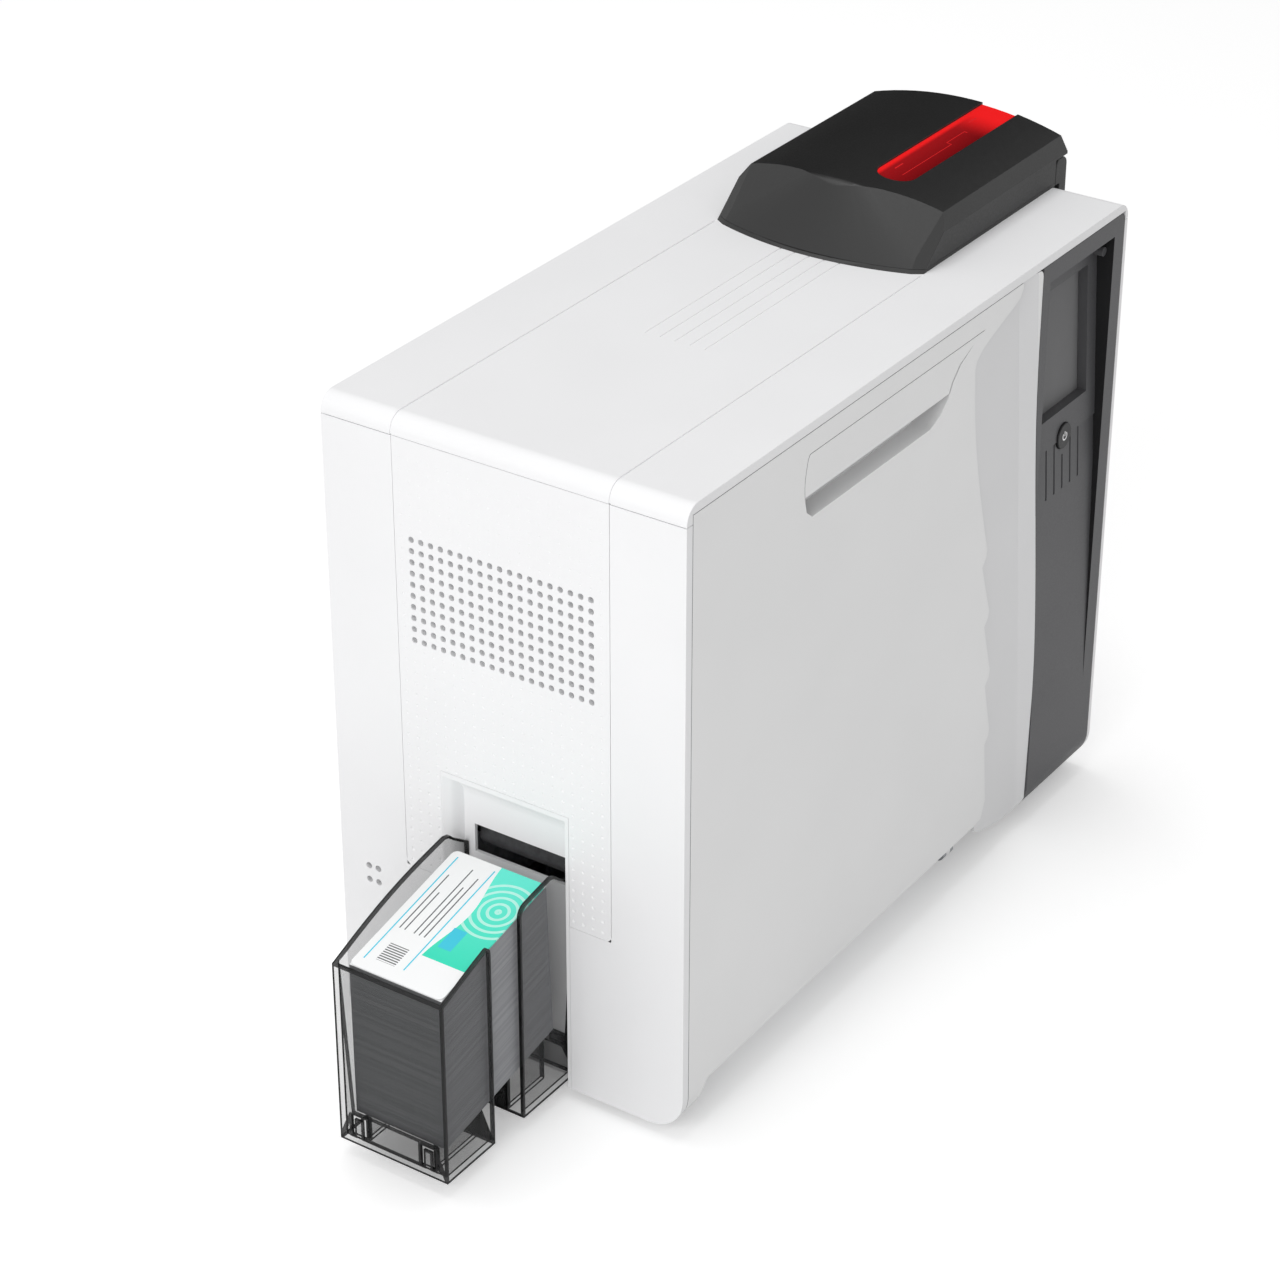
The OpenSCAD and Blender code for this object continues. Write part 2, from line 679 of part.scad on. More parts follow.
switch_t = 4;
module power_button() color("#4a4a4c") in_frame() {
    flange = button_y + panel_t + 1;
    rod_y([button_x, button_z], button_y - 0.9, flange, button_d);
    rod_y([button_x, button_z], flange - eps, flange + 1.2, button_d + 3);
    rod_y([button_x, button_z], flange, board_y - switch_t - button_travel - 0.1, 5);
}

module control_board() color(board_green) in_frame() {
    block([recess_x + 1, board_y, board_z], [recess_end - 0.5, board_y + 1.6, lcd_z + lcd_h + 10]);
    block([button_x - 4, board_y - switch_t, button_z - 4], [button_x + 4, board_y + eps, button_z + 4]);
}

// ---- card feeder ----
lid_base = body_h + 1.8;                      // the lid's lower edge lies on the feeder base
lid_top = body_h + feed_h;
window_x = feed_end - window_l;
knuckle_r = 5;
lid_axis_x = feed_end - knuckle_r;
lid_axis_z = lid_top - 21.5;
block_x = body_l - 4.4;                       // near side of the lid's hinge block
lid_side_z = lid_axis_z + knuckle_r + fit;    // lid's lower edge above the hinge block
knuckle_w = 56;
lid_pin_d = 3;

module feeder_space(inset) {
    side0 = groove_in + inset;
    side1 = groove_back - inset;
    lean = inset * 1.64;                      // wall thickness measured level through the sloped front
    drop = inset * 0.4;
    intersection() {
        // arched roof with chamfered shoulders
        along_x(feed_x - 5, feed_end - inset) intersection() {
            translate([mid_y, lid_top - roof_r]) circle(roof_r - inset, $fn = 256);
            polygon([
                [side0, body_h - 30], [side0, lid_top - 15 - drop], [side0 + 6.4, lid_top - 8.4 - drop],
                [side0 + 12, lid_top + 5], [side1 - 12, lid_top + 5], [side1 - 3, lid_top - 9.2 - drop],
                [side1, lid_top - 12.6 - drop], [side1, body_h - 30]
            ]);
        }
        // bowed front that leans back
        translate([feed_x + bow_r, mid_y, body_h]) {
            cylinder(r1 = bow_r - lean, r2 = bow_r - lean - bow_run * feed_h * 1.2, h = feed_h * 1.2, $fn = 256);
            translate([0, 0, -25]) cylinder(r = bow_r - lean, h = 25 + eps, $fn = 256);
        }
    }
}

module feeder_base() color(feeder_black) in_frame() difference() {
    intersection() {
        feeder_space(0);
        block([feed_x - 5, 0, body_h], [block_x - seam, body_w, lid_base - 0.1]);
    }
    shaft_hole(shaft_t + fit, body_h - 1, lid_base + 1);
}

module window_slot(inset) {
    r = window_w / 2 - inset;
    translate([window_x + r + inset, window_y]) circle(r);
    translate([window_x + r + inset, window_y - r]) square([feed_end, 2 * r]);
}

module feeder_lid() color(feeder_black) in_frame() {
    difference() {
        intersection() {
            difference() {
                feeder_space(0);
                feeder_space(lid_t);
            }
            union() {
                block([feed_x - 5, 0, lid_base], [block_x - seam, body_w, lid_top + 5]);
                block([feed_x - 5, 0, lid_side_z], [feed_end + 5, body_w, lid_top + 5]);
            }
        }
        along_z(lid_side_z + 2, lid_top + 5) window_slot(0);
    }
    // knuckle that turns between the ears of the hinge block
    difference() {
        along_y(mid_y - knuckle_w / 2, mid_y + knuckle_w / 2) {
            translate([lid_axis_x, lid_axis_z]) circle(knuckle_r - fit);
            translate([lid_axis_x + knuckle_r - fit - 2.4, lid_axis_z]) square([2.4, lid_side_z - lid_axis_z + 1.9]);
        }
        rod_y([lid_axis_x, lid_axis_z], groove_in, groove_back, lid_pin_d + 2 * bearing_gap);
    }
}

module feeder_window() color("#e8141ccc") in_frame() intersection() {
    difference() {
        feeder_space(0.9);
        feeder_space(lid_t + 0.6);
    }
    along_z(lid_side_z + 2 + 0.1, lid_top + 5) window_slot(0.1);
}

module lid_hinge_block() color(feeder_black) in_frame() difference() {
    along_y(groove_in, groove_back) {
        translate([lid_axis_x, lid_axis_z]) circle(knuckle_r);
        translate([block_x, body_h]) square([lid_axis_x - block_x, lid_axis_z - body_h]);
        // rounded top, past which the lid's sides swing
        intersection() {
            translate([lid_axis_x, lid_axis_z]) circle(lid_axis_x - block_x);
            translate([block_x, lid_axis_z - eps]) square([lid_axis_x - block_x, knuckle_r + eps]);
        }
        translate([body_l, body_h - 14]) square([feed_over, lid_axis_z - body_h + 14]);
        translate([body_l - 3, body_h]) square([3 + eps, 3]);
    }
    // bay in the middle where the lid's knuckle turns
    block([block_x - 1, mid_y - knuckle_w / 2 - fit, lid_axis_z - knuckle_r - 1],
        [feed_end + 1, mid_y + knuckle_w / 2 + fit, lid_axis_z + 6]);
    rod_y([lid_axis_x, lid_axis_z], groove_in + 4, groove_back - 4, lid_pin_d);
    // clearance over the rounded end of the top cover
    along_y(0, body_w) intersection() {
        casing_ends(-0.1);
        translate([body_l - end_round - 5, 0]) square([60, body_h]);
    }
}

module lid_hinge_pin() color(steel) in_frame()
    rod_y([lid_axis_x, lid_axis_z], groove_in + 4, groove_back - 4, lid_pin_d);

shaft_l = card_l + 2.4;
shaft_w = card_w + 3;
shaft_t = 2;
shaft_x = body_l - 13.5 - shaft_l;
shaft_y = path_y - shaft_w / 2;
card_floor = path_z - card_t / 2 - 0.2;
pick_d = roller_d + 6;
pick_x = shaft_x + 26;
pick_w = 28;
nip = 0.3;                                    // gap left between a roller and what it drives

module card_shaft() color(feeder_black) in_frame() difference() {
    union() {
        shaft_hole(shaft_t, card_floor - 2, lid_base);
        // brackets that reach the chassis plate
        for (x = [shaft_x + 4, shaft_x + shaft_l - 12], z = [0.44, 0.87] * body_h)
            block([x, shaft_y + shaft_w, z], [x + 8, plate_y, z + 12]);
    }
    shaft_hole(0, card_floor, lid_base + 1);
    block([shaft_x - shaft_t - 1, path_y - card_w / 2 - 1, card_floor],
        [shaft_x + 1, path_y + card_w / 2 + 1, card_floor + 1.6]);
    block([pick_x - pick_d / 2 - 2, path_y - pick_w / 2 - 3, card_floor - 3],
        [pick_x + pick_d / 2 + 2, path_y + pick_w / 2 + 3, card_floor + 1]);
}

blanks_z = card_floor + 0.1;
module blank_cards() color("white") in_frame() along_z(blanks_z, blanks_z + blanks_h)
    rounded([shaft_x + 1.2, path_y - card_w / 2], [shaft_x + 1.2 + card_l, path_y + card_w / 2], card_r);

module card_weight() color(feeder_black) in_frame() {
    z0 = blanks_z + blanks_h + 0.1;
    block([shaft_x + 1, shaft_y + 1.5, z0], [shaft_x + shaft_l - 1, shaft_y + shaft_w - 1.5, z0 + 6]);
    block([shaft_x + shaft_l / 2 - 12, path_y - 4, z0 + 6 - eps],
        [shaft_x + shaft_l / 2 + 12, path_y + 4, z0 + 14]);
}

// ---- output hopper ----
hopper_y = pocket_y + 0.7;
hopper_w = 64.5;
hopper_in = pocket_d - fit;                   // the hopper ends at the back of the pocket
peak_x = -7;                                  // top of the rear walls, just outside the pocket
peg_w = 8;                                    // pegs that hang the hopper in the exit chute
peg_h = 4;
peg_z = hopper_lift + 14;
peg_places = [hopper_y + 8, hopper_y + hopper_w - 16];

// Side view of the long walls: the rim climbs to a rounded peak at the pocket.
module hopper_side() {
    rise = tan(hopper_slope);
    peak_z = hopper_rim + (hopper_reach + peak_x) * rise + 5;
    polygon(concat(
        [[-hopper_reach, hopper_lift], [-hopper_reach, hopper_rim]],
        [for (i = [1:10]) let (u = i / 10) [-hopper_reach + u * (hopper_reach + peak_x - 4),
            hopper_rim + u * (peak_z - hopper_rim) + 3.2 * sin(u * 180)]],
        [[peak_x, peak_z - 1], [peak_x + 3, peak_z - 4], [hopper_in, peak_z - 12], [hopper_in, hopper_lift]]
    ));
}

module output_hopper() color(smoke) in_frame() {
    x0 = -hopper_reach;
    y1 = hopper_y + hopper_w;
    difference() {
        union() {
            along_y(hopper_y, hopper_y + hopper_t) hopper_side();
            along_y(y1 - hopper_t, y1) hopper_side();
            block([x0, hopper_y, hopper_lift], [x0 + hopper_t, y1, hopper_rim]);
            block([x0, hopper_y, hopper_lift], [hopper_in, y1, hopper_lift + hopper_t]);
            block([hopper_in - hopper_t, hopper_y, hopper_lift], [hopper_in, y1, hopper_lift + 22]);
            for (y = peg_places) block([hopper_in - eps, y, peg_z],
                [pocket_d + chute_t - 0.2, y + peg_w, peg_z + peg_h]);
            // wedge ribs on the floor that hold the cards at a slope
            for (y = [card_y + 6, card_y + card_w - 8]) along_y(y, y + hopper_t) polygon([
                [card_x + 0.5, hopper_lift], [card_x + 0.5, card_z - printed_h - 0.1],
                card_foot - [0, 0.1], [card_foot.x, hopper_lift]]);
        }
        // finger gap through the front wall and the floor
        block([-gap_near - gap_w, hopper_y - 1, hopper_lift - 1], [-gap_near, y1 - 24, hopper_rim + 60]);
        // snap-fit slots near the foot of the outer wall
        for (y = [hopper_y + 7, y1 - 16]) block([x0 - 1, y, hopper_lift + 5], [x0 + hopper_t + 1, y + 9, hopper_lift + 17]);
    }
    // snap tabs standing in the slots
    for (y = [hopper_y + 9, y1 - 14]) block([x0, y, hopper_lift + 1], [x0 + hopper_t * 0.7, y + 5, hopper_lift + 15]);
}

card_x = -hopper_reach + hopper_t + 1.5;      // outer end of the printed cards
card_y = path_y - card_w / 2 - 0.3;
card_z = hopper_rim + 0.6;                    // height of the printed card's outer end
card_end = [card_x + card_l * cos(hopper_slope), card_z + card_l * sin(hopper_slope)];
card_foot = card_end + [4, -printed_h];       // inner end of the bottom card

module printed_card() color("#37c9c4") in_frame()
    translate([card_x, card_y, card_z]) rotate([0, -hopper_slope, 0]) along_z(0, card_t)
        rounded([0, 0], [card_l, card_w], card_r);

module printed_card_stack() color("#d9dadb") in_frame() along_y(card_y, card_y + card_w) polygon([
    for (p = [[0, -0.1], [card_l, -0.1]]) [card_x + p.x * cos(hopper_slope) - p.y * sin(hopper_slope),
        card_z + p.x * sin(hopper_slope) + p.y * cos(hopper_slope)],
    card_foot,
    [card_x + 0.2, card_z - printed_h]
]);

// ---- chassis ----
roller_z = path_z - card_t / 2 - roller_d / 2;
idler_d = roller_d - 2;
idler_z = path_z + card_t / 2 + idler_d / 2;
pick_z = card_floor - nip - pick_d / 2;
function place(u, v) = [u * body_l, v * body_h];
exit_at = [0.048 * body_l, roller_z];
transport_at = [0.24 * body_l, roller_z];
feed_at = [0.628 * body_l, roller_z];
pick_at = [pick_x, pick_z];
transfer_x = 0.432 * body_l;
heat_at = [transfer_x, path_z + card_t / 2 + nip + heat_d / 2];
card_platen_d = 20;
card_platen_at = [transfer_x, path_z - card_t / 2 - nip - card_platen_d / 2];
platen_at = place(0.35, 0.624);
film_supply_at = place(0.145, 0.6);
film_takeup_at = place(0.6, 0.595);
takeup_d = 36;
ribbon_supply_at = place(0.225, 0.835);
ribbon_takeup_at = place(0.5, 0.835);
ribbon_used_d = 34;
head_nose_r = 3;
web_gap = 0.3;
head_nose = [platen_at.x, platen_at.y + platen_d / 2 + 2 * (web_t + web_gap) + web_gap + head_nose_r];
head_axis = head_nose + [34, 35];
guide_d = 8;
guides = [platen_at + [-22, 27], platen_at + [22, 27]];
web_y0 = path_y - web_w / 2;
web_y1 = path_y + web_w / 2;
spool_d = 8;                                  // journals of the spools and the platens
clutch_d = 30;
pulley_d = 15;
belt_w = 6;
pulley_y = plate_y + plate_t + 3;
pick_pulley_y = pulley_y + belt_w + 2;
gear_y = pick_pulley_y + belt_w + 2;
gear_w = 7;
shaft_end = gear_y + gear_w + 2;
mesh_l = gear_m * (gear_teeth + pinion_teeth) / 2 + 0.1;
mesh_a = 58;
motor_at = [transport_at.x + mesh_l * cos(mesh_a), roller_z - mesh_l * sin(mesh_a)];
motor_w = 42;
motor_l = 34;
fan_at = [plate_y - 33, vent_z - vent_pz * (vent_rows - 1) / 2];
fan_w = 60;
driven = [exit_at, transport_at, feed_at, pick_at];
idle = [[exit_at.x, idler_z], [transport_at.x, idler_z], [feed_at.x, idler_z]];
spools = [film_supply_at, film_takeup_at, ribbon_supply_at, ribbon_takeup_at, platen_at, heat_at, card_platen_at];
side_t = 1.5;
plate_x0 = 14;
tie_places = [(exit_at.x + transport_at.x) / 2, (transfer_x + feed_at.x) / 2, pick_x - 22];

module chassis_plate() color(steel) in_frame() {
    difference() {
        union() {
            along_y(plate_y, plate_y + plate_t) rounded([plate_x0, pan_top], [body_l - 12, body_h - 20], 6);
            // foot flange that sits on the base pan
            block([plate_x0 + 10, plate_y, pan_top], [body_l - 24, plate_y + 16, pan_top + plate_t]);
        }
        for (p = concat(driven, idle)) rod_y(p, plate_y - 1, plate_y + plate_t + 1, shaft_d + 2 * bearing_gap);
        for (p = spools) rod_y(p, plate_y - 1, plate_y + plate_t + 1, spool_d + 2 * bearing_gap);
        rod_y(motor_at, plate_y - 1, plate_y + plate_t + 1, 14);
        // cable windows
        along_y(plate_y - 1, plate_y + plate_t + 1) {
            rounded(place(0.08, 0.1), place(0.2, 0.2), 6);
            rounded(place(0.76, 0.1), place(0.9, 0.25), 6);
        }
    }
    for (p = board_studs) rod_y(p, plate_y + plate_t - eps, main_board_y, 6);
}

module bearing_plate() color(steel) in_frame() {
    difference() {
        along_y(side_y, side_y + side_t) {
            rounded([plate_x0, path_z - 30], [pick_x + 14, path_z + 22], 5);
            rounded([transfer_x - 16, path_z - 30], [transfer_x + 16, heat_at.y + 14], 5);
            rounded([platen_at.x - 14, path_z - 30], [platen_at.x + 14, platen_at.y + 8], 5);
        }
        for (p = concat(driven, idle)) rod_y(p, side_y - 1, side_y + side_t + 1, shaft_d + 2 * bearing_gap);
        for (p = [platen_at, heat_at, card_platen_at])
            rod_y(p, side_y - 1, side_y + side_t + 1, spool_d + 2 * bearing_gap);
        along_y(side_y - 1, side_y + side_t + 1) {
            rounded([exit_at.x + 16, path_z - 18], [transport_at.x - 16, path_z + 12], 4);
            rounded([transfer_x + 20, path_z - 18], [feed_at.x - 16, path_z + 12], 4);
        }
    }
}

module tie_bars() color(steel) in_frame()
    for (p = concat([for (x = tie_places) [x, path_z - 25]], [for (x = [tie_places[0], tie_places[1]]) [x, path_z + 17]]))
        rod_y(p, side_y + side_t, plate_y, 7);

module guide_bars() color(steel) in_frame() for (p = guides) rod_y(p, web_y0 - 3, plate_y, guide_d);

// A rubber-covered roller on a steel shaft; drive is the last station of the shaft.
module roller(at, d, y0, y1, journal, drive) {
    rod_y(at, y0, y1, d);
    rod_y(at, side_y - 3, drive, journal);
}

module pulley(at, y) {
    rod_y(at, y, y + belt_w, pulley_d);
    for (dy = [-1, belt_w]) rod_y(at, y + dy, y + dy + 1, pulley_d + 3);
}

roller_y0 = path_y - card_w / 2 - 2;
roller_y1 = path_y + card_w / 2 + 2;

module exit_roller() color(rubber) in_frame() {
    roller(exit_at, roller_d, roller_y0, roller_y1, shaft_d, pulley_y + belt_w + 1);
    pulley(exit_at, pulley_y);
}

module exit_idler() color(rubber) in_frame()
    roller(idle[0], idler_d, roller_y0, roller_y1, shaft_d, plate_y + plate_t + 2);

module transport_roller() color(rubber) in_frame() {
    roller(transport_at, roller_d, roller_y0, roller_y1, shaft_d, shaft_end);
    pulley(transport_at, pulley_y);
    drive_gear(transport_at, gear_teeth, 0);
}

module transport_idler() color(rubber) in_frame()
    roller(idle[1], idler_d, roller_y0, roller_y1, shaft_d, plate_y + plate_t + 2);

module feed_roller() color(rubber) in_frame() {
    roller(feed_at, roller_d, roller_y0, roller_y1, shaft_d, pick_pulley_y + belt_w + 1);
    pulley(feed_at, pulley_y);
    pulley(feed_at, pick_pulley_y);
}

module cleaning_roller() color("#3f86c8") in_frame()
    roller(idle[2], idler_d, roller_y0, roller_y1, shaft_d, plate_y + plate_t + 2);

module pick_roller() color(rubber) in_frame() {
    roller(pick_at, pick_d, path_y - pick_w / 2, path_y + pick_w / 2, shaft_d, pick_pulley_y + belt_w + 1);
    pulley(pick_at, pick_pulley_y);
}

module card_platen() color(rubber) in_frame()
    roller(card_platen_at, card_platen_d, roller_y0, roller_y1, spool_d, plate_y + plate_t + 3);

module heat_roller() color("#b0553a") in_frame() {
    roller(heat_at, heat_d, web_y0 - 1, web_y1 + 1, spool_d, plate_y + plate_t + 3);
    rod_y(heat_at, plate_y + plate_t + 0.6, plate_y + plate_t + 3, 14);
}

module print_platen() color(rubber) in_frame() {
    roller(platen_at, platen_d, web_y0 - 1, web_y1 + 1, spool_d, plate_y + plate_t + 8);
    rod_y(platen_at, plate_y + plate_t + 1, plate_y + plate_t + 8, 26);
}

// ---- gears, belts and motor ----
// Involute tooth flank; roll is the roll angle of the generating line in degrees.
function involute(rb, roll) = let (a = roll * PI / 180) [rb * (cos(roll) + a * sin(roll)), rb * (sin(roll) - a * cos(roll))];
function turn(p, a) = [p.x * cos(a) - p.y * sin(a), p.x * sin(a) + p.y * cos(a)];

module gear_outline(teeth, slack) {
    rp = gear_m * teeth / 2;
    rb = rp * cos(20);
    ra = rp + gear_m * 0.95;
    rr = rp - gear_m * 1.2;
    function roll_at(r) = r <= rb ? 0 : sqrt(pow(r / rb, 2) - 1) * 180 / PI;
    pitch_off = roll_at(rp) - acos(rb / rp);
    half = 90 / teeth - slack / rp * 180 / PI + pitch_off;
    flank = [for (i = [0:4]) involute(rb, roll_at(max(rr, rb) + (ra - max(rr, rb)) * i / 4))];
    polygon([for (k = [0:teeth - 1]) each concat(
        [turn([rr, 0], k * 360 / teeth - half)],
        [for (p = flank) turn(p, k * 360 / teeth - half)],
        [for (i = [4:-1:0]) turn([flank[i].x, -flank[i].y], k * 360 / teeth + half)],
        [turn([rr, 0], k * 360 / teeth + half)]
    )]);
}

module drive_gear(at, teeth, phase) {
    along_y(gear_y, gear_y + gear_w) translate(at) rotate(phase) gear_outline(teeth, 0.06);
}

module motor_pinion() color("#c8a24a") in_frame() {
    // turned so that a tooth gap faces a tooth of the drive gear
    pitch_a = 360 / gear_teeth;
    off = -mesh_a - pitch_a * round(-mesh_a / pitch_a);
    drive_gear(motor_at, pinion_teeth, 180 - mesh_a + 180 / pinion_teeth + off * gear_teeth / pinion_teeth);
    rod_y(motor_at, plate_y + 0.4, gear_y + gear_w + 2, 5);
}

module drive_motor() color("#3a3b3d") in_frame() difference() {
    union() {
        along_y(plate_y - motor_l, plate_y) translate(motor_at)
            rounded([-motor_w / 2, -motor_w / 2], [motor_w / 2, motor_w / 2], 4);
        rod_y(motor_at, plate_y - eps, plate_y + plate_t, 13.4);
    }
    rod_y(motor_at, plate_y + 0.1, plate_y + plate_t + 1, 5 + 2 * bearing_gap);
}

module belt_outline(a, b, r) {
    d = b - a;
    translate(a) circle(r);
    translate(b) circle(r);
    translate(a) rotate(atan2(d.y, d.x)) translate([0, -r]) square([norm(d), 2 * r]);
}

module belt(a, b, y) {
    r = pulley_d / 2 + 0.15;
    along_y(y + 0.3, y + belt_w - 0.3) difference() {
        belt_outline(a, b, r + 1.1);
        belt_outline(a, b, r);
    }
}

module drive_belt() color(rubber) in_frame() belt(exit_at, feed_at, pulley_y);
module pick_belt() color(rubber) in_frame() belt(feed_at, pick_at, pick_pulley_y);

// ---- ribbon and film ----
// A wheel of a web path is [x, z, radius, side]; side is 1 where the web turns clockwise round it.
function heading(a, b) = let (d = [b.x - a.x, b[1] - a[1]])
    atan2(d.y, d.x) - asin((a[3] * a[2] - b[3] * b[2]) / norm(d));
function wrapped(from, to, side) = side > 0 ? -((from - to) % 360 + 360) % 360 : ((to - from) % 360 + 360) % 360;
function web_points(w, off) = [for (i = [0:len(w) - 1])
    let (first = i == 0, last = i == len(w) - 1, s = w[i][3],
        a_in = first ? heading(w[0], w[1]) + s * 90 : heading(w[i - 1], w[i]) + s * 90,
        a_out = last ? a_in : heading(w[i], w[i + 1]) + s * 90,
        span = first || last ? 0 : wrapped(a_in, a_out, s),
        n = max(1, ceil(abs(span) / 12)))
    for (k = [0:first || last ? 0 : n]) let (a = a_in + span * k / n, r = w[i][2] + s * off)
        [w[i][0] + r * cos(a), w[i][1] + r * sin(a)]];

module web(w) {
    left = web_points(w, web_t / 2);
    right = web_points(w, -web_t / 2);
    polygon(concat(left, [for (i = [len(right) - 1:-1:0]) right[i]]));
}

function on_wheel(at, d, side, gap = web_gap) = [at.x, at.y, d / 2 + gap + web_t / 2, side];

module ribbon_web() color("#3b3d8c") in_frame() along_y(web_y0, web_y1) web([
    on_wheel(ribbon_supply_at, ribbon_d, -1),
    on_wheel(guides[0], guide_d, -1),
    on_wheel(head_nose, 2 * head_nose_r, -1),
    on_wheel(guides[1], guide_d, -1),
    on_wheel(ribbon_takeup_at, ribbon_used_d, -1)
]);

module film_web() color("#a9b4b8") in_frame() along_y(web_y0, web_y1) web([
    on_wheel(film_supply_at, film_d, 1),
    on_wheel(platen_at, platen_d, 1),
    on_wheel(heat_at, heat_d, -1, fit / 2),
    on_wheel(film_takeup_at, takeup_d, -1)
]);

// A spool is its wound roll between two flanges, on a journal with a slip clutch behind the plate.
module spool(at, wound) {
    rod_y(at, web_y0, web_y1, wound);
    rod_y(at, web_y0 - 5, web_y1 + 4, core_d);
    rod_y(at, web_y1, plate_y + plate_t + 8, spool_d);
    rod_y(at, plate_y + plate_t + 1, plate_y + plate_t + 6, clutch_d);
}

module ribbon_supply() color("#2a2c6a") in_frame() spool(ribbon_supply_at, ribbon_d);
module ribbon_takeup() color("#2a2c6a") in_frame() spool(ribbon_takeup_at, ribbon_used_d);
module film_supply() color("#9fa9ad") in_frame() spool(film_supply_at, film_d);
module film_takeup() color("#9fa9ad") in_frame() spool(film_takeup_at, takeup_d);

// ---- print head ----
module print_head() color("#8d9094") in_frame() difference() {
    union() {
        along_y(web_y0 - 2, web_y1 + 2) {
            translate(head_nose) circle(head_nose_r);
            polygon([head_nose + [-3, 0.4], head_nose + [3, 0.4], head_nose + [8, 10], head_nose + [8, 28],
                head_nose + [-6, 28], head_nose + [-6, 10]]);
            polygon([head_nose + [6, 12], head_nose + [6, 24], head_axis + [-2, 6], head_axis + [5, 4],
                head_axis + [4, -5]]);
            translate(head_axis) circle(6);
        }
        // cooling fins
        for (i = [0:3]) along_y(web_y0 - 2, web_y1 + 2)
            translate(head_nose + [-5.5 + i * 4, 27]) square([1.4, 9]);
    }
    rod_y(head_axis, web_y0 - 5, web_y1 + 5, shaft_d + 2 * bearing_gap);
}

module head_pivot() color(steel) in_frame() rod_y(head_axis, web_y0 - 4, plate_y, shaft_d);

// ---- electronics ----
main_board_y = plate_y + plate_t + 14;
board_low = place(0.44, 0.52);
board_high = place(0.9, 0.92);
board_mid = (board_low + board_high) / 2;
board_studs = [for (x = [board_low.x + 8, board_high.x - 8], z = [board_low.y + 8, board_high.y - 8]) [x, z]];

module main_board() color(board_green) in_frame() {
    y1 = main_board_y + 1.6;
    along_y(main_board_y, y1) translate(board_low) square(board_high - board_low);
    for (i = [0:4])
        block([board_low.x + 20 + i * 30, y1 - eps, board_high.y - 26], [board_low.x + 42 + i * 30, y1 + 9, board_high.y - 18]);
    block([board_mid.x + 18, y1 - eps, board_mid.y - 16], [board_mid.x + 44, y1 + 2, board_mid.y + 10]);
    block([board_mid.x - 42, y1 - eps, board_low.y + 24], [board_mid.x - 20, y1 + 14, board_low.y + 52]);
    for (x = [board_low.x + 25, board_low.x + 42, board_high.x - 40, board_high.x - 23])
        rod_y([x, board_low.y + 34], y1 - eps, y1 + 14, 11);
}

supply_air = 8;                               // air beside the sockets
supply_x = ports_x + ports_w + supply_air;
supply_l = inlet_x - supply_air - supply_x;
supply_slot = (supply_l - 18) / 8;
supply_h = 92;
module power_supply() color("#a5a8ab") in_frame() difference() {
    block([supply_x, plate_y + plate_t + 16 + fit, pan_top], [supply_x + supply_l, rear_in - 5, supply_h]);
    for (i = [0:7]) block([supply_x + 12 + i * supply_slot, plate_y + plate_t + 27, supply_h - 32],
        [supply_x + 12 + (i + 0.5) * supply_slot, rear_in - 14, supply_h + 1]);
}

module fan_frame() color(rubber) in_frame() {
    x0 = 7;
    x1 = 22;
    difference() {
        along_x(x0, x1) translate(fan_at) rounded([-fan_w / 2, -fan_w / 2], [fan_w / 2, fan_w / 2], 4);
        rod_x(fan_at.x, fan_at.y, x0 - 1, x1 + 1, fan_w - 5);
        for (dy = [-1, 1], dz = [-1, 1]) rod_x(fan_at.x + dy * 25, fan_at.y + dz * 25, x0 - 1, x1 + 1, 4.3);
    }
    // spokes and the seat of the rotor
    rod_x(fan_at.x, fan_at.y, x1 - 2, x1, 24);
    for (a = [0:90:270]) translate([x1 - 2, fan_at.x, fan_at.y]) rotate([a + 20, 0, 0])
        translate([0, -1.5, 0]) cube([2, 3, fan_w / 2 - 1]);
    rod_x(fan_at.x, fan_at.y, x0 + 6, x1, 3);
    block([x0 + 7, fan_at.x + fan_w / 2 - 1, fan_at.y - 8], [x1, plate_y, fan_at.y + 8]);
}

module fan_rotor() color("#3c3c3e") in_frame() translate([7.5, fan_at.x, fan_at.y]) difference() {
    union() {
        rotate([0, 90, 0]) cylinder(d = 22, h = 11);
        for (a = [0:360 / 7:359]) rotate([a, 0, 0]) translate([5.5, 0, 10]) rotate([0, 0, 38])
            translate([-0.6, -7, 0]) cube([1.2, 14, 15.5]);
    }
    rotate([0, 90, 0]) translate([0, 0, 3]) cylinder(d = 3 + 2 * bearing_gap, h = 20);
}

module inlet_socket() color(rubber) in_frame() difference() {
    union() {
        block([inlet_x + 0.1, body_w - 24, inlet_z + 0.1], [inlet_x + inlet_w - 0.1, body_w - 0.4, inlet_z + inlet_h - 0.1]);
        block([inlet_x - 3, body_w - wall - 1.5, inlet_z - 2],
            [inlet_x + inlet_w + 3, body_w - wall, inlet_z + inlet_h + 2]);
    }
    along_y(body_w - 18, body_w + 1) translate([inlet_x + inlet_w / 2, inlet_z + inlet_h / 2])
        polygon([[-12, -8], [12, -8], [12, 4], [8, 8], [-8, 8], [-12, 4]]);
}

module data_ports() color("#c3c6c9") in_frame() difference() {
    union() {
        block([ports_x + 0.1, body_w - 18, inlet_z + 0.1], [ports_x + ports_w - 0.1, body_w - 0.4, inlet_z + ports_h - 0.1]);
        block([ports_x - 3, body_w - wall - 1.5, inlet_z - 2],
            [ports_x + ports_w + 3, body_w - wall, inlet_z + ports_h + 2]);
    }
    block([ports_x + 4, body_w - 14, inlet_z + 2.5], [ports_x + 16, body_w + 1, inlet_z + 13.5]);
    block([ports_x + 24, body_w - 14, inlet_z + 1.5], [ports_x + 40, body_w + 1, inlet_z + 14]);
}

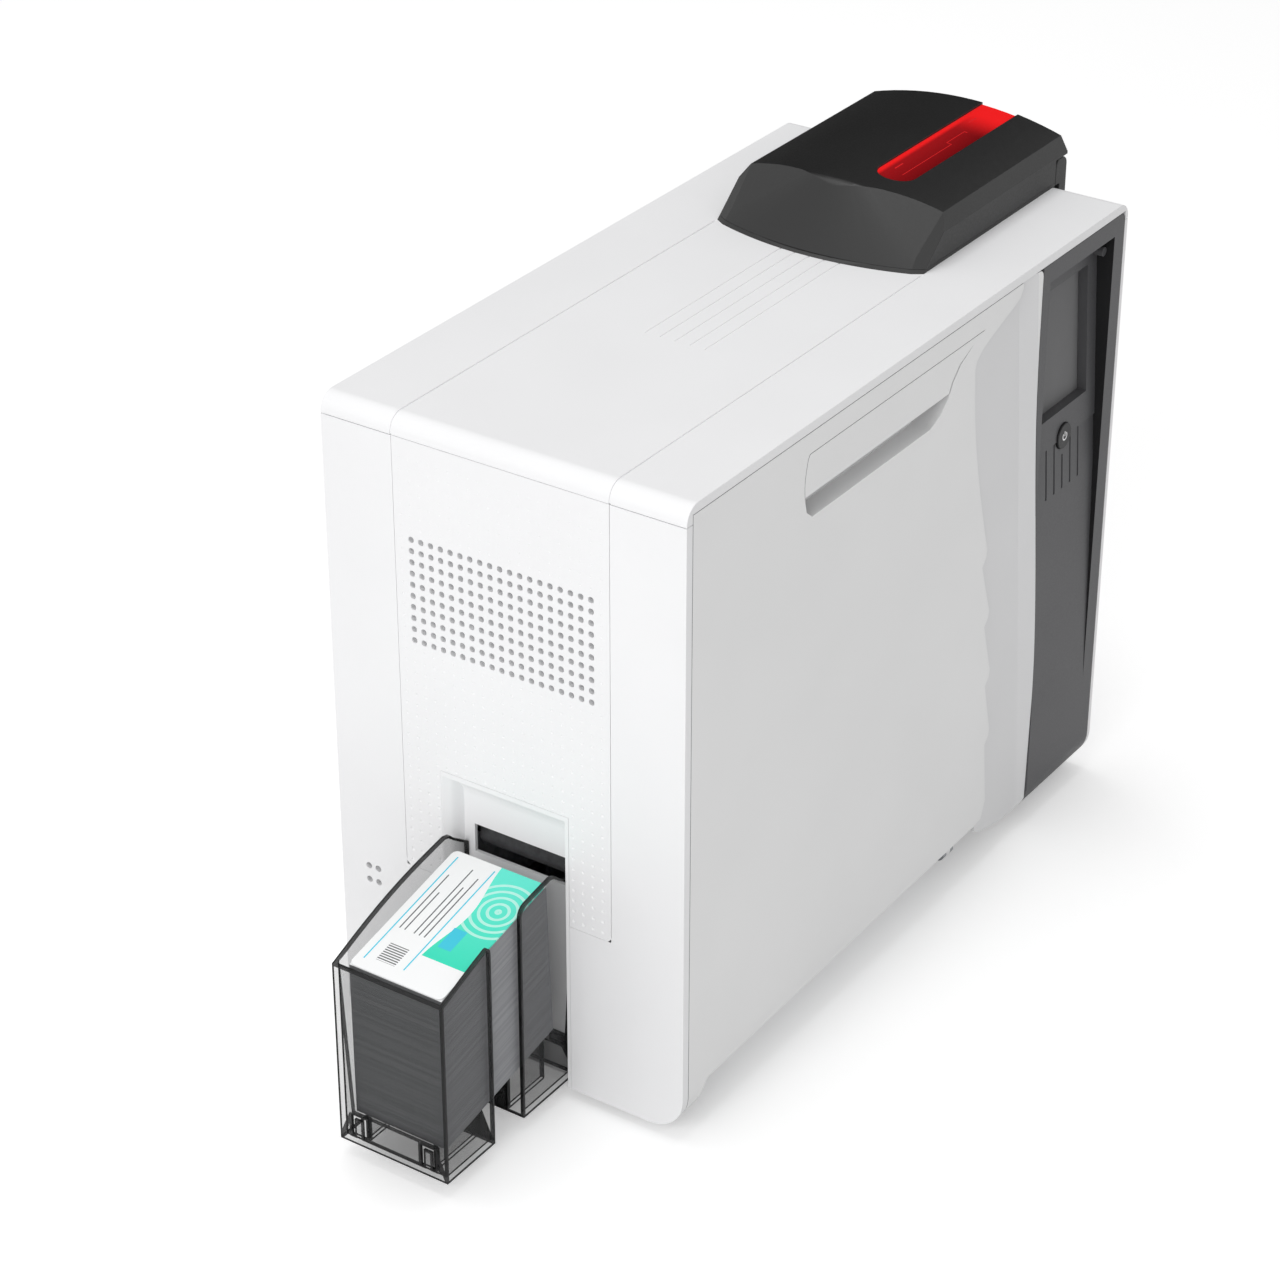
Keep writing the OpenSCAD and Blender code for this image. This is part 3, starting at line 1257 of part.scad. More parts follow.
top_cover();
left_end_panel();
vent_panel();
card_exit_chute();
right_end_panel();
rear_panel();
base_pan();
rubber_feet();
front_door();
door_latch_flap();
door_hinge_pins();
control_panel();
lcd_display();
power_button();
control_board();
feeder_base();
feeder_lid();
feeder_window();
lid_hinge_block();
lid_hinge_pin();
card_shaft();
card_weight();
blank_cards();
output_hopper();
printed_card_stack();
printed_card();
chassis_plate();
bearing_plate();
tie_bars();
guide_bars();
pick_roller();
feed_roller();
cleaning_roller();
transport_roller();
transport_idler();
exit_roller();
exit_idler();
card_platen();
heat_roller();
print_platen();
print_head();
head_pivot();
ribbon_supply();
ribbon_takeup();
film_supply();
film_takeup();
ribbon_web();
film_web();
drive_motor();
motor_pinion();
drive_belt();
pick_belt();
main_board();
power_supply();
fan_frame();
fan_rotor();
inlet_socket();
data_ports();
panel_screws();
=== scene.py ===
"""Looks of a desktop card printer with a card feeder, a drop-down door and a clip-on output hopper.

Lengths named *_mm are millimetres in the casing's own frame: X from the output end to the control
end, Y from the door to the back, Z up from the casing's lower edge. at() turns them into metres in
the shared frame of the solids.
"""

from __future__ import annotations

import json
import logging
import math
from dataclasses import dataclass
from enum import Enum
from typing import Callable, Iterable, Sequence

import bmesh
import bpy
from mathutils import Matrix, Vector

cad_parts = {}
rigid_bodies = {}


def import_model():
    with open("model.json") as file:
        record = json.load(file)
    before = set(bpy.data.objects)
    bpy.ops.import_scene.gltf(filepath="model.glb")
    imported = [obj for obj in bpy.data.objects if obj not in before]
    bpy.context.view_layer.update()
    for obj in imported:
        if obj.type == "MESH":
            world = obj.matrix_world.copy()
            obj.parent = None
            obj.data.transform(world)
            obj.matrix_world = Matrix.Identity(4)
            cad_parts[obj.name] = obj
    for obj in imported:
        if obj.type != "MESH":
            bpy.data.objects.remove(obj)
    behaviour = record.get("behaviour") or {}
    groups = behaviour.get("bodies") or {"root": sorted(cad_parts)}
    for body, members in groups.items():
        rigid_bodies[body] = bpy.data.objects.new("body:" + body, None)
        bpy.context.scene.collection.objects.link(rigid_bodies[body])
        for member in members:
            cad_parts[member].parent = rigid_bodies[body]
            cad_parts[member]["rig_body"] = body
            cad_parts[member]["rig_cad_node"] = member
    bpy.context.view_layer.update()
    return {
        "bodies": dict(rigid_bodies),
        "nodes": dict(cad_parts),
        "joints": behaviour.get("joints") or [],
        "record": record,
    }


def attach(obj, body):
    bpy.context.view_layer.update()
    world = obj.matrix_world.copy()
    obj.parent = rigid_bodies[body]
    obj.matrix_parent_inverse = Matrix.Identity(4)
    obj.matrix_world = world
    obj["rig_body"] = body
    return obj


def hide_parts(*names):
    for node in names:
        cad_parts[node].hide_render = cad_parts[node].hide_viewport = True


log = logging.getLogger("card_printer")

MM = 0.001
# points closer than SNAP are one point of a cut, and closer than WELD one point of a copied solid
SNAP = 1e-6
WELD = 4e-6
CASING_ORIGIN_MM = (163.4, 102.5, -5.0)
Span = tuple[float, float]
Point = tuple[float, float, float]
Plane = tuple[Vector, Vector]
Tree = bpy.types.NodeTree
Node = bpy.types.Node
Socket = bpy.types.NodeSocket
Piece = bpy.types.Object
Face = bmesh.types.BMFace
Edge = bmesh.types.BMEdge


def at(x: float, y: float, z: float) -> Vector:
    """Returns the point x, y, z of the casing's frame, in millimetres, as metres in the shared frame."""
    ox, oy, oz = CASING_ORIGIN_MM
    return Vector(((x - ox) * MM, (y - oy) * MM, (z - oz) * MM))


def linear(hex_colour: str) -> tuple[float, float, float, float]:
    """Turns an sRGB colour into linear light.

    Args:
        hex_colour: The colour as "#rrggbb".

    Returns:
        Linear red, green, blue and an alpha of one.
    """
    channels = [int(hex_colour[i : i + 2], 16) / 255 for i in (1, 3, 5)]
    return (*[c / 12.92 if c <= 0.04045 else ((c + 0.055) / 1.055) ** 2.4 for c in channels], 1.0)


class Slot(Enum):
    """The record's material slots."""

    WHITE = "white_plastic"
    GREY = "grey_plastic"
    DARK_GREY = "dark_grey_plastic"
    BLACK = "black_plastic"
    GLASS = "display_glass"
    RED = "red_clear_plastic"
    SMOKE = "smoked_clear_plastic"
    CARD = "card_plastic"


class Axis(Enum):
    """Axes of the shared frame."""

    X = 0
    Y = 1
    Z = 2


# ---------------------------------------------------------------- materials


def add_node(tree: Tree, kind: str, links: dict | None = None, **settings) -> Node:
    """Adds one shader node.

    Args:
        tree: The node tree that takes the node.
        kind: Blender's name of the node type without its leading "ShaderNode".
        links: Input name or number to the output socket, or to the constant, that feeds it.
        settings: Properties of the node itself.

    Returns:
        The new node.
    """
    node = tree.nodes.new("ShaderNode" + kind)
    for key, value in settings.items():
        setattr(node, key, value)
    for key, source in (links or {}).items():
        if isinstance(source, Socket):
            tree.links.new(source, node.inputs[key])
        else:
            node.inputs[key].default_value = source
    return node


@dataclass(frozen=True)
class Finish:
    """A finish made from one Principled shader; subclasses add their pattern in dress()."""

    name: str
    colour: str
    roughness: float = 0.4
    metallic: float = 0.0
    ior: float = 1.5
    alpha: float = 1.0
    coat: float = 0.0
    specular: float = 0.5

    def build(self) -> bpy.types.Material:
        """Makes the material, or returns the one that was made before."""
        found = bpy.data.materials.get(self.name)
        if found:
            return found
        material = bpy.data.materials.new(self.name)
        material.use_nodes = True
        tree = material.node_tree
        shader = tree.nodes["Principled BSDF"]
        for socket, value in {
            "Base Color": linear(self.colour),
            "Roughness": self.roughness,
            "Metallic": self.metallic,
            "IOR": self.ior,
            "Alpha": self.alpha,
            "Coat Weight": self.coat,
            "Specular IOR Level": self.specular,
        }.items():
            shader.inputs[socket].default_value = value
        place = add_node(tree, "TexCoord").outputs["Object"]
        self.dress(tree, shader, place)
        return material

    def dress(self, tree: Tree, shader: Node, place: Socket) -> None:
        """Adds the finish's pattern to the shader.

        Args:
            tree: The material's node tree.
            shader: Its Principled shader.
            place: Object coordinates, in metres.
        """
        raise NotImplementedError


def mottle(tree: Tree, place: Socket, size_mm: float, detail: float = 3.0) -> Socket:
    """Returns soft noise whose patches are about size_mm across."""
    links = {"Vector": place, "Scale": 1 / (size_mm * MM), "Detail": detail, "Roughness": 0.55}
    return add_node(tree, "TexNoise", links).outputs["Fac"]


def spread(tree: Tree, value: Socket, low: float, high: float) -> Socket:
    """Maps a noise value from about 0.3 to 0.7 onto low to high."""
    links = {"Value": value, "From Min": 0.3, "From Max": 0.7, "To Min": low, "To Max": high}
    return add_node(tree, "MapRange", links).outputs["Result"]


def rise(tree: Tree, value: Socket, low: float, high: float, interpolation: str = "LINEAR") -> Socket:
    """Returns 0 below low, 1 above high and the share of the way between them."""
    links = {"Value": value, "From Min": low, "From Max": high}
    return add_node(tree, "MapRange", links, interpolation_type=interpolation).outputs["Result"]


def layer(tree: Tree, mask: Socket, under, over) -> Socket:
    """Lays one colour over another.

    Args:
        tree: The material's node tree.
        mask: Where the upper colour shows, 0 to 1.
        under: The lower colour, a socket or linear numbers.
        over: The upper colour, a socket or linear numbers.

    Returns:
        The mixed colour.
    """
    return add_node(tree, "Mix", {0: mask, 6: under, 7: over}, data_type="RGBA").outputs[2]


def tint(tree: Tree, amount: Socket, low: str, high: str) -> Socket:
    """Returns a colour between two sRGB hex colours."""
    return layer(tree, amount, linear(low), linear(high))


def reckon(tree: Tree, operation: str, a, b=0.0) -> Socket:
    """Returns the outcome of one Math node on sockets or numbers."""
    return add_node(tree, "Math", {0: a, 1: b}, operation=operation).outputs[0]


def times(tree: Tree, a, b) -> Socket:
    """Returns the product of sockets or numbers."""
    return reckon(tree, "MULTIPLY", a, b)


def between(tree: Tree, value: Socket, low: float, high: float) -> Socket:
    """Returns 1 where value lies between low and high, else 0."""
    return times(tree, reckon(tree, "GREATER_THAN", value, low), reckon(tree, "LESS_THAN", value, high))


def feed(tree: Tree, shader: Node, name: str, source: Socket) -> None:
    """Links a socket to the shader's input of that name."""
    tree.links.new(source, shader.inputs[name])


def emboss(tree: Tree, shader: Node, height: Socket, strength: float, depth_mm: float) -> None:
    """Gives the shader a bump from a height pattern."""
    links = {"Height": height, "Strength": strength, "Distance": depth_mm * MM}
    feed(tree, shader, "Normal", add_node(tree, "Bump", links).outputs["Normal"])


def patch(tree: Tree, u: Socket, v: Socket, span_u: Span, span_v: Span) -> Socket:
    """Returns 1 inside a rectangle of the plane u, v, else 0."""
    return times(tree, between(tree, u, *span_u), between(tree, v, *span_v))


@dataclass(frozen=True)
class MouldedPlastic(Finish):
    """Injection-moulded ABS from a spark-eroded tool: an even fine grain that softens every highlight."""

    shade: str = "#ffffff"
    grain_mm: float = 0.9
    grain_depth_mm: float = 0.012
    flow_mm: float = 60.0

    def dress(self, tree: Tree, shader: Node, place: Socket) -> None:
        """Adds a fine grain and slow changes of tone from the melt's flow."""
        flow = mottle(tree, place, self.flow_mm, 1.0)
        feed(tree, shader, "Base Color", tint(tree, spread(tree, flow, 0.0, 1.0), self.colour, self.shade))
        # the grain is drawn at 0.9 mm, coarser than the real 0.1 mm, so that it still shows
        grain = mottle(tree, place, self.grain_mm)
        feed(tree, shader, "Roughness", spread(tree, grain, self.roughness - 0.05, self.roughness + 0.06))
        emboss(tree, shader, grain, 0.35, self.grain_depth_mm)


@dataclass(frozen=True)
class ClearPlastic(Finish):
    """Polished see-through plastic: dyed all through, glossy, with a few wiping streaks."""

    streak_mm: float = 14.0

    def dress(self, tree: Tree, shader: Node, place: Socket) -> None:
        """Adds faint streaks to the gloss."""
        streaks = mottle(tree, place, self.streak_mm, 2.0)
        feed(tree, shader, "Roughness", spread(tree, streaks, self.roughness, self.roughness + 0.08))


@dataclass(frozen=True)
class SheetMetal(Finish):
    """Galvanised or turned steel: fine lines along one axis and slow patches of zinc."""

    along: Axis = Axis.X
    line_mm: float = 0.5
    patch_mm: float = 9.0
    shade: str = "#9da1a5"

    def dress(self, tree: Tree, shader: Node, place: Socket) -> None:
        """Adds rolling lines and zinc patches."""
        stretch = [1.0, 1.0, 1.0]
        stretch[self.along.value] = 0.04
        lined = add_node(tree, "Mapping", {"Vector": place, "Scale": stretch}).outputs["Vector"]
        lines = mottle(tree, lined, self.line_mm, 2.0)
        patches = mottle(tree, place, self.patch_mm, 2.0)
        feed(tree, shader, "Base Color", tint(tree, spread(tree, patches, 0.0, 1.0), self.shade, self.colour))
        feed(tree, shader, "Roughness", spread(tree, lines, self.roughness - 0.08, self.roughness + 0.12))
        emboss(tree, shader, lines, 0.2, 0.02)


@dataclass(frozen=True)
class RollerRubber(Finish):
    """Ground rubber: matt, slightly dusty, with a fine tooth."""

    shade: str = "#454547"

    def dress(self, tree: Tree, shader: Node, place: Socket) -> None:
        """Adds dust and the ground tooth."""
        dust = mottle(tree, place, 6.0)
        feed(tree, shader, "Base Color", tint(tree, spread(tree, dust, 0.0, 1.0), self.colour, self.shade))
        emboss(tree, shader, mottle(tree, place, 0.6), 0.3, 0.03)


@dataclass(frozen=True)
class CircuitBoard(Finish):
    """Glass-fibre board under green solder resist, with paler tracks below the lacquer."""

    track: str = "#3f8a58"
    pitch_mm: float = 3.2
    track_edge: Span = (0.3, 0.36)

    def dress(self, tree: Tree, shader: Node, place: Socket) -> None:
        """Adds straight tracks on a square pitch."""
        links = {"Vector": place, "Scale": 1 / (self.pitch_mm * MM), "Randomness": 0.6}
        cells = add_node(tree, "TexVoronoi", links, feature="F1", distance="CHEBYCHEV").outputs["Distance"]
        feed(tree, shader, "Base Color", tint(tree, rise(tree, cells, *self.track_edge), self.track, self.colour))


@dataclass(frozen=True)
class DyeRibbon(Finish):
    """Thin polyester film with a thermal dye layer, in panels that follow each other along the web."""

    panel_mm: float = 92.0
    dyes: tuple[str, ...] = ("#c9a21c", "#a3234f", "#1f5f9a", "#26262a")

    def dress(self, tree: Tree, shader: Node, place: Socket) -> None:
        """Adds the row of dye panels."""
        x = add_node(tree, "SeparateXYZ", {"Vector": place}).outputs["X"]
        turns = reckon(tree, "DIVIDE", x, len(self.dyes) * self.panel_mm * MM)
        ramp = add_node(tree, "ValToRGB", {"Fac": reckon(tree, "FRACT", turns)})
        ramp.color_ramp.interpolation = "CONSTANT"
        for i, dye in enumerate(self.dyes):
            stops = ramp.color_ramp.elements
            stop = stops[i] if i < 2 else stops.new(i / len(self.dyes))
            stop.position = i / len(self.dyes)
            stop.color = linear(dye)
        feed(tree, shader, "Base Color", ramp.outputs["Color"])
        emboss(tree, shader, mottle(tree, place, 12.0, 1.0), 0.25, 0.2)


@dataclass(frozen=True)
class StackedCards(Finish):
    """Cut edges of stacked PVC cards: a fine line at each card, some cards a little darker."""

    card_mm: float = 0.76
    tilt_deg: float = 11.9
    line: str = "#c9cbcc"
    line_share: float = 0.3
    darkest: float = 0.55

    def dress(self, tree: Tree, shader: Node, place: Socket) -> None:
        """Adds one line for each card, square to the cards' slope."""
        turn = (0.0, math.radians(self.tilt_deg), 0.0)
        level = add_node(tree, "Mapping", {"Vector": place, "Rotation": turn}).outputs["Vector"]
        height = add_node(tree, "SeparateXYZ", {"Vector": level}).outputs["Z"]
        count = reckon(tree, "DIVIDE", height, self.card_mm * MM)
        gap = rise(tree, reckon(tree, "FRACT", count), 0.0, self.line_share)
        whole = reckon(tree, "FLOOR", count)
        random = add_node(tree, "TexWhiteNoise", {"W": whole}, noise_dimensions="1D").outputs["Value"]
        tone = add_node(tree, "MapRange", {"Value": random, "To Min": self.darkest, "To Max": 1.0}).outputs["Result"]
        feed(tree, shader, "Base Color", tint(tree, times(tree, gap, tone), self.line, self.colour))


@dataclass(frozen=True)
class PrintedCardFace(Finish):
    """Glossy PVC card with a printed design: a mint field with rings, a block, rules, bars and a comb of lines."""

    corner_mm: Point = (0.0, 0.0, 0.0)
    tilt_deg: float = 11.9
    field_dark: str = "#1fd9b6"
    field_light: str = "#62ecd6"
    ink: str = "#5b5d60"
    fade_mm: Span = (20.0, 84.0)
    rings_at: Span = (60.0, 10.0)
    ring_rate: float = 1.5
    ring_from: float = 0.4
    ring_share: float = 0.4
    ring_reach_mm: float = 19.0
    edge_mm: float = 23.5
    swell_mm: float = 2.5
    swell_rate: float = 0.09
    comb_rate: float = 4.2
    comb_from: float = 0.1
    comb_mm: tuple[Span, Span] = ((8.0, 20.0), (33.0, 44.0))
    marks: tuple[tuple[Span, Span, str], ...] = (
        ((8.0, 82.0), (27.2, 28.0), "#4cc9e0"), ((6.0, 82.0), (49.2, 50.0), "#4cc9e0"),
        ((28.0, 42.0), (15.0, 22.5), "#2cc4dc"), ((30.0, 74.0), (31.5, 32.2), "#5b5d60"),
        ((30.0, 66.0), (34.5, 35.2), "#5b5d60"), ((30.0, 78.0), (37.5, 38.2), "#5b5d60"),
        ((30.0, 58.0), (43.0, 43.7), "#5b5d60"), ((30.0, 70.0), (46.0, 46.7), "#5b5d60"),
    )

    def dress(self, tree: Tree, shader: Node, place: Socket) -> None:
        """Prints the design on the card; u runs along it and v across it, in millimetres."""
        moved = add_node(tree, "VectorMath", {0: place, 1: at(*self.corner_mm)}, operation="SUBTRACT").outputs[0]
        turn = (0.0, math.radians(self.tilt_deg), 0.0)
        flat = add_node(tree, "Mapping", {"Vector": moved, "Rotation": turn, "Scale": (1000.0, 1000.0, 1000.0)})
        parts = add_node(tree, "SeparateXYZ", {"Vector": flat.outputs["Vector"]})
        u, v = parts.outputs["X"], parts.outputs["Y"]
        # a mint field over the door side of the card, paler towards the inner end, with soft rings
        colour = tint(tree, rise(tree, u, *self.fade_mm), self.field_dark, self.field_light)
        centre = add_node(tree, "CombineXYZ", {"X": self.rings_at[0], "Y": self.rings_at[1]}).outputs[0]
        flat_uv = add_node(tree, "CombineXYZ", {"X": u, "Y": v}).outputs[0]
        away = add_node(tree, "VectorMath", {0: flat_uv, 1: centre}, operation="DISTANCE").outputs["Value"]
        ripple = reckon(tree, "SINE", times(tree, away, self.ring_rate))
        near = reckon(tree, "LESS_THAN", away, self.ring_reach_mm)
        rings = times(tree, reckon(tree, "GREATER_THAN", ripple, self.ring_from), near)
        colour = layer(tree, times(tree, rings, self.ring_share), colour, linear("#ffffff"))
        swell = times(tree, reckon(tree, "SINE", times(tree, u, self.swell_rate)), self.swell_mm)
        below = reckon(tree, "LESS_THAN", v, reckon(tree, "ADD", swell, self.edge_mm))
        field = times(tree, below, reckon(tree, "GREATER_THAN", u, self.fade_mm[0]))
        colour = layer(tree, field, linear(self.colour), colour)
        # two rules, a block, bars of uneven length and a comb of fine lines
        for span_u, span_v, ink in self.marks:
            colour = layer(tree, patch(tree, u, v, span_u, span_v), colour, linear(ink))
        teeth = reckon(tree, "GREATER_THAN", reckon(tree, "SINE", times(tree, u, self.comb_rate)), self.comb_from)
        comb = times(tree, teeth, patch(tree, u, v, *self.comb_mm))
        feed(tree, shader, "Base Color", layer(tree, comb, colour, linear(self.ink)))


@dataclass(frozen=True)
class EdgeLitAcrylic(Finish):
    """Dyed acrylic over a dark space, with a painted glow along its edges, painted shade towards the door side and
    moulded ribs showing through.
    """

    deep: str = "#7a0d12"
    lit: str = "#ff2022"
    rib: str = "#e0282b"
    fade_mm: Span = (73.0, 88.0)
    side_mm: Span = (88.5, 91.5)
    end_mm: Span = (384.0, 412.0)
    ribs: tuple[tuple[Span, Span], ...] = (
        ((318.0, 368.0), (79.6, 80.0)), ((367.6, 368.2), (79.6, 82.8)), ((368.0, 386.0), (82.4, 82.8)),
        ((386.0, 386.7), (80.8, 82.8)), ((322.0, 330.0), (86.2, 87.0)), ((398.0, 406.0), (86.2, 87.0)),
    )

    def dress(self, tree: Tree, shader: Node, place: Socket) -> None:
        """Adds the painted shade, the painted glow along the edges and the ribs, by millimetres of the casing's
        frame.
        """
        moved = add_node(tree, "VectorMath", {0: place, 1: at(0, 0, 0)}, operation="SUBTRACT").outputs[0]
        scaled = add_node(tree, "VectorMath", {0: moved, "Scale": 1000.0}, operation="SCALE").outputs[0]
        parts = add_node(tree, "SeparateXYZ", {"Vector": scaled})
        x, y = parts.outputs["X"], parts.outputs["Y"]
        # painted shade: darker towards the door side of the window
        colour = tint(tree, rise(tree, y, *self.fade_mm), self.deep, self.colour)
        # painted glow along the window's rear side and far end
        for value, span in ((y, self.side_mm), (x, self.end_mm)):
            colour = layer(tree, rise(tree, value, *span, "SMOOTHSTEP"), colour, linear(self.lit))
        for span_x, span_y in self.ribs:
            colour = layer(tree, patch(tree, x, y, span_x, span_y), colour, linear(self.rib))
        feed(tree, shader, "Base Color", colour)


WHITE_ABS = MouldedPlastic("moulded_white_abs", "#f0f0f1", 0.5, shade="#f2f2f3")
DOOR_ABS = MouldedPlastic("moulded_door_abs", "#ededed", 0.46, shade="#efefef")
# the door's facet band is a darker grey as painted shade on its shallow facets
BAND_SHADE_ABS = MouldedPlastic("door_band_painted_shade", "#e2e2e3", 0.5, shade="#e5e5e6")
# the dark grey on the door's and flap's edge faces is painted shade of the gap round them
GAP_SHADE_ABS = MouldedPlastic("door_edge_painted_shade", "#a4a5a7", 0.7, shade="#a9aaac", specular=0.2)
FRAME_ABS = MouldedPlastic("moulded_dark_grey_abs", "#4c4c4e", 0.42, shade="#525254", flow_mm=90.0)
BLACK_ABS = MouldedPlastic("moulded_black_abs", "#1c1c1c", 0.4, shade="#202020", grain_mm=1.1, specular=0.42)
# the near-black on the control panel's recess end wall is painted shade
RECESS_SHADE_ABS = MouldedPlastic("recess_wall_painted_shade", "#1b1b1c", 0.6, shade="#212122", specular=0.15)
BUTTON_ABS = MouldedPlastic("moulded_button_abs", "#19191a", 0.3, shade="#1e1e1f", specular=0.3)
MARK_WHITE = MouldedPlastic("printed_white_mark", "#f2f3f4", 0.4, shade="#fafafa")
SCREEN = ClearPlastic("display_cover_acrylic", "#79797a", 0.6, specular=0.2)
# the red window's bright edges are a painted glow and its darker door side is painted shade
RED_ACRYLIC = EdgeLitAcrylic("red_acrylic", "#a3161b", 0.2, ior=1.4, specular=0.15)
SMOKED_ACRYLIC = ClearPlastic("smoked_acrylic", "#2c2d2e", 0.05, ior=1.45, alpha=0.18)
# the near-black on the hopper's narrow rims and edge strips is painted shade of the acrylic's edges
SMOKED_EDGE_SHADE = ClearPlastic("smoked_acrylic_edge_painted_shade", "#0b0b0c", 0.2, ior=1.45, alpha=0.93, specular=0.3)
STEEL = SheetMetal("galvanised_sheet_steel", "#b9bcbf", 0.38, metallic=1.0)
SHAFT_STEEL = SheetMetal("ground_shaft_steel", "#c6c8ca", 0.25, metallic=1.0, along=Axis.Y, shade="#b4b7ba")
ALUMINIUM = SheetMetal("extruded_aluminium", "#aeb2b6", 0.35, metallic=1.0, along=Axis.Y)
BRASS = SheetMetal("machined_brass", "#c8a24a", 0.3, metallic=1.0, along=Axis.Y, shade="#b08c3c")
RUBBER = RollerRubber("ground_roller_rubber", "#2b2b2d", 0.75)
TACKY_RUBBER = RollerRubber("cleaning_silicone", "#2f78bd", 0.45, shade="#3f86c8")
HEAT_RUBBER = RollerRubber("heat_silicone", "#a84f36", 0.5, shade="#b65c40")
PVC_WHITE = ClearPlastic("blank_pvc_cards", "#f2f3f3", 0.25)
PVC_EDGES = StackedCards("stacked_pvc_edges", "#f1f2f2", 0.4)
# the greys of the stack's ends and door side are painted shade; bare PVC edges are white like PVC_EDGES
CARD_ENDS_SHADE = StackedCards("stacked_pvc_ends_painted_shade", "#68696b", 0.5, line="#3c3d3f")
CARD_SIDES_SHADE = StackedCards("stacked_pvc_sides_painted_shade", "#96979a", 0.5, line="#6c6d70")
FILM = ClearPlastic("transfer_film", "#a9b4b8", 0.15, alpha=0.8, coat=0.4)
DYE = DyeRibbon("dye_ribbon", "#26262a", 0.3)
BOARD = CircuitBoard("green_circuit_board", "#235c39", 0.35)


def dress(obj: Piece, finish: Finish) -> None:
    """Gives obj one material."""
    obj.data.materials.clear()
    obj.data.materials.append(finish.build())


# ---------------------------------------------------------------- modelling


def pick(obj: Piece) -> None:
    """Deselects everything, then selects obj and makes it the active object."""
    for other in bpy.context.selected_objects:
        other.select_set(False)
    obj.select_set(True)
    bpy.context.view_layer.objects.active = obj


def edit(obj: Piece, mode: str = "FACE", action: str = "DESELECT") -> None:
    """Enters edit mode on obj alone, with nothing selected, or all of it where action is "SELECT"."""
    pick(obj)
    bpy.ops.object.mode_set(mode="EDIT")
    bpy.ops.mesh.select_mode(type=mode)
    bpy.ops.mesh.select_all(action=action)


def select_where(obj: Piece, kind: str, test: Callable) -> int:
    """Selects faces, edges or verts of the edited mesh by a test.

    Args:
        obj: The object in edit mode.
        kind: "faces", "edges" or "verts".
        test: Called with each element; true selects it.

    Returns:
        How many are selected.
    """
    mesh = bmesh.from_edit_mesh(obj.data)
    count = 0
    for element in getattr(mesh, kind):
        if test(element):
            element.select_set(True)
            count += 1
    mesh.select_flush_mode()
    bmesh.update_edit_mesh(obj.data)
    return count


def leave_edit() -> None:
    """Goes back to object mode."""
    bpy.ops.object.mode_set(mode="OBJECT")


def turn_outward() -> None:
    """Turns every face of the edited mesh outward."""
    bpy.ops.mesh.select_all(action="SELECT")
    bpy.ops.mesh.normals_make_consistent(inside=False)


def modify(obj: Piece, kind: str, **settings) -> None:
    """Adds a modifier with its settings and applies it."""
    pick(obj)
    modifier = obj.modifiers.new(kind.lower(), kind)
    for key, value in settings.items():
        setattr(modifier, key, value)
    bpy.ops.object.modifier_apply(modifier=modifier.name)


def smooth(obj: Piece, angle_deg: float = 32.0) -> None:
    """Shades obj smooth across edges flatter than angle_deg."""
    pick(obj)
    bpy.ops.object.shade_smooth_by_angle(angle=math.radians(angle_deg))


def settle(obj: Piece) -> None:
    """Puts the object's place into its mesh, so that the object sits at the origin."""
    pick(obj)
    bpy.ops.object.transform_apply(location=True, rotation=True, scale=True)


def close_up(obj: Piece, body: str, slot: Slot, finish: Finish, *nodes: str) -> Piece:
    """Finishes a new piece: material, body and the solids that it stands for.

    Args:
        obj: The piece.
        body: The body that it rides on.
        slot: The record's slot of its finish; not used.
        finish: Its finish.
        nodes: The solids that it replaces.

    Returns:
        The piece.
    """
    dress(obj, finish)
    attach(obj, body)
    if nodes:
        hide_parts(*nodes)
    log.info("%s: %d faces on %s", obj.name, len(obj.data.polygons), body)
    return obj


def second_finish(obj: Piece, finish: Finish, test: Callable) -> None:
    """Gives the faces that pass a test another material.

    Args:
        obj: The piece, which has one material.
        finish: The finish of the chosen faces.
        test: Called with each face; true chooses it.
    """
    obj.data.materials.append(finish.build())
    edit(obj)
    select_where(obj, "faces", test)
    obj.active_material_index = len(obj.data.materials) - 1
    bpy.ops.object.material_slot_assign()
    leave_edit()


def is_narrow(face: Face, width_mm: float) -> bool:
    """Tells whether a face is a strip narrower than width_mm."""
    return face.calc_area() < width_mm * MM * max(e.calc_length() for e in face.edges)


def drop(obj: Piece) -> None:
    """Takes a helper object out of the scene."""
    bpy.data.objects.remove(obj, do_unlink=True)


def cuboid(name: str, low: Vector, high: Vector) -> Piece:
    """Adds a block between two corners."""
    bpy.ops.mesh.primitive_cube_add(size=1, location=(low + high) / 2)
    block = bpy.context.active_object
    block.name = name
    block.scale = high - low
    settle(block)
    return block


def trim(obj: Piece, planes: Iterable[Plane], inset_mm: float = 0.0) -> None:
    """Cuts off what lies outside each plane, and closes each cut with a face.

    Args:
        obj: A convex piece.
        planes: A point on each plane and its outward normal.
        inset_mm: How far inside its plane each cut runs.
    """
    edit(obj)
    for point, normal in planes:
        bpy.ops.mesh.select_all(action="SELECT")
        inner = point - normal * inset_mm * MM
        bpy.ops.mesh.bisect(plane_co=inner, plane_no=normal, use_fill=True, clear_outer=True, threshold=SNAP)
    leave_edit()


def carve(obj: Piece, tool: Piece, operation: str = "DIFFERENCE") -> None:
    """Cuts one solid by another, or joins them, and takes the tool away."""
    modify(obj, "BOOLEAN", operation=operation, object=tool, solver="EXACT")
    drop(tool)


def round_edges(obj: Piece, test: Callable, radius_mm: float, segments: int = 4) -> None:
    """Rounds the edges that pass a test to a radius."""
    edit(obj, "EDGE")
    if select_where(obj, "edges", test):
        bpy.ops.mesh.bevel(offset=radius_mm * MM, segments=segments, affect="EDGES")
    leave_edit()


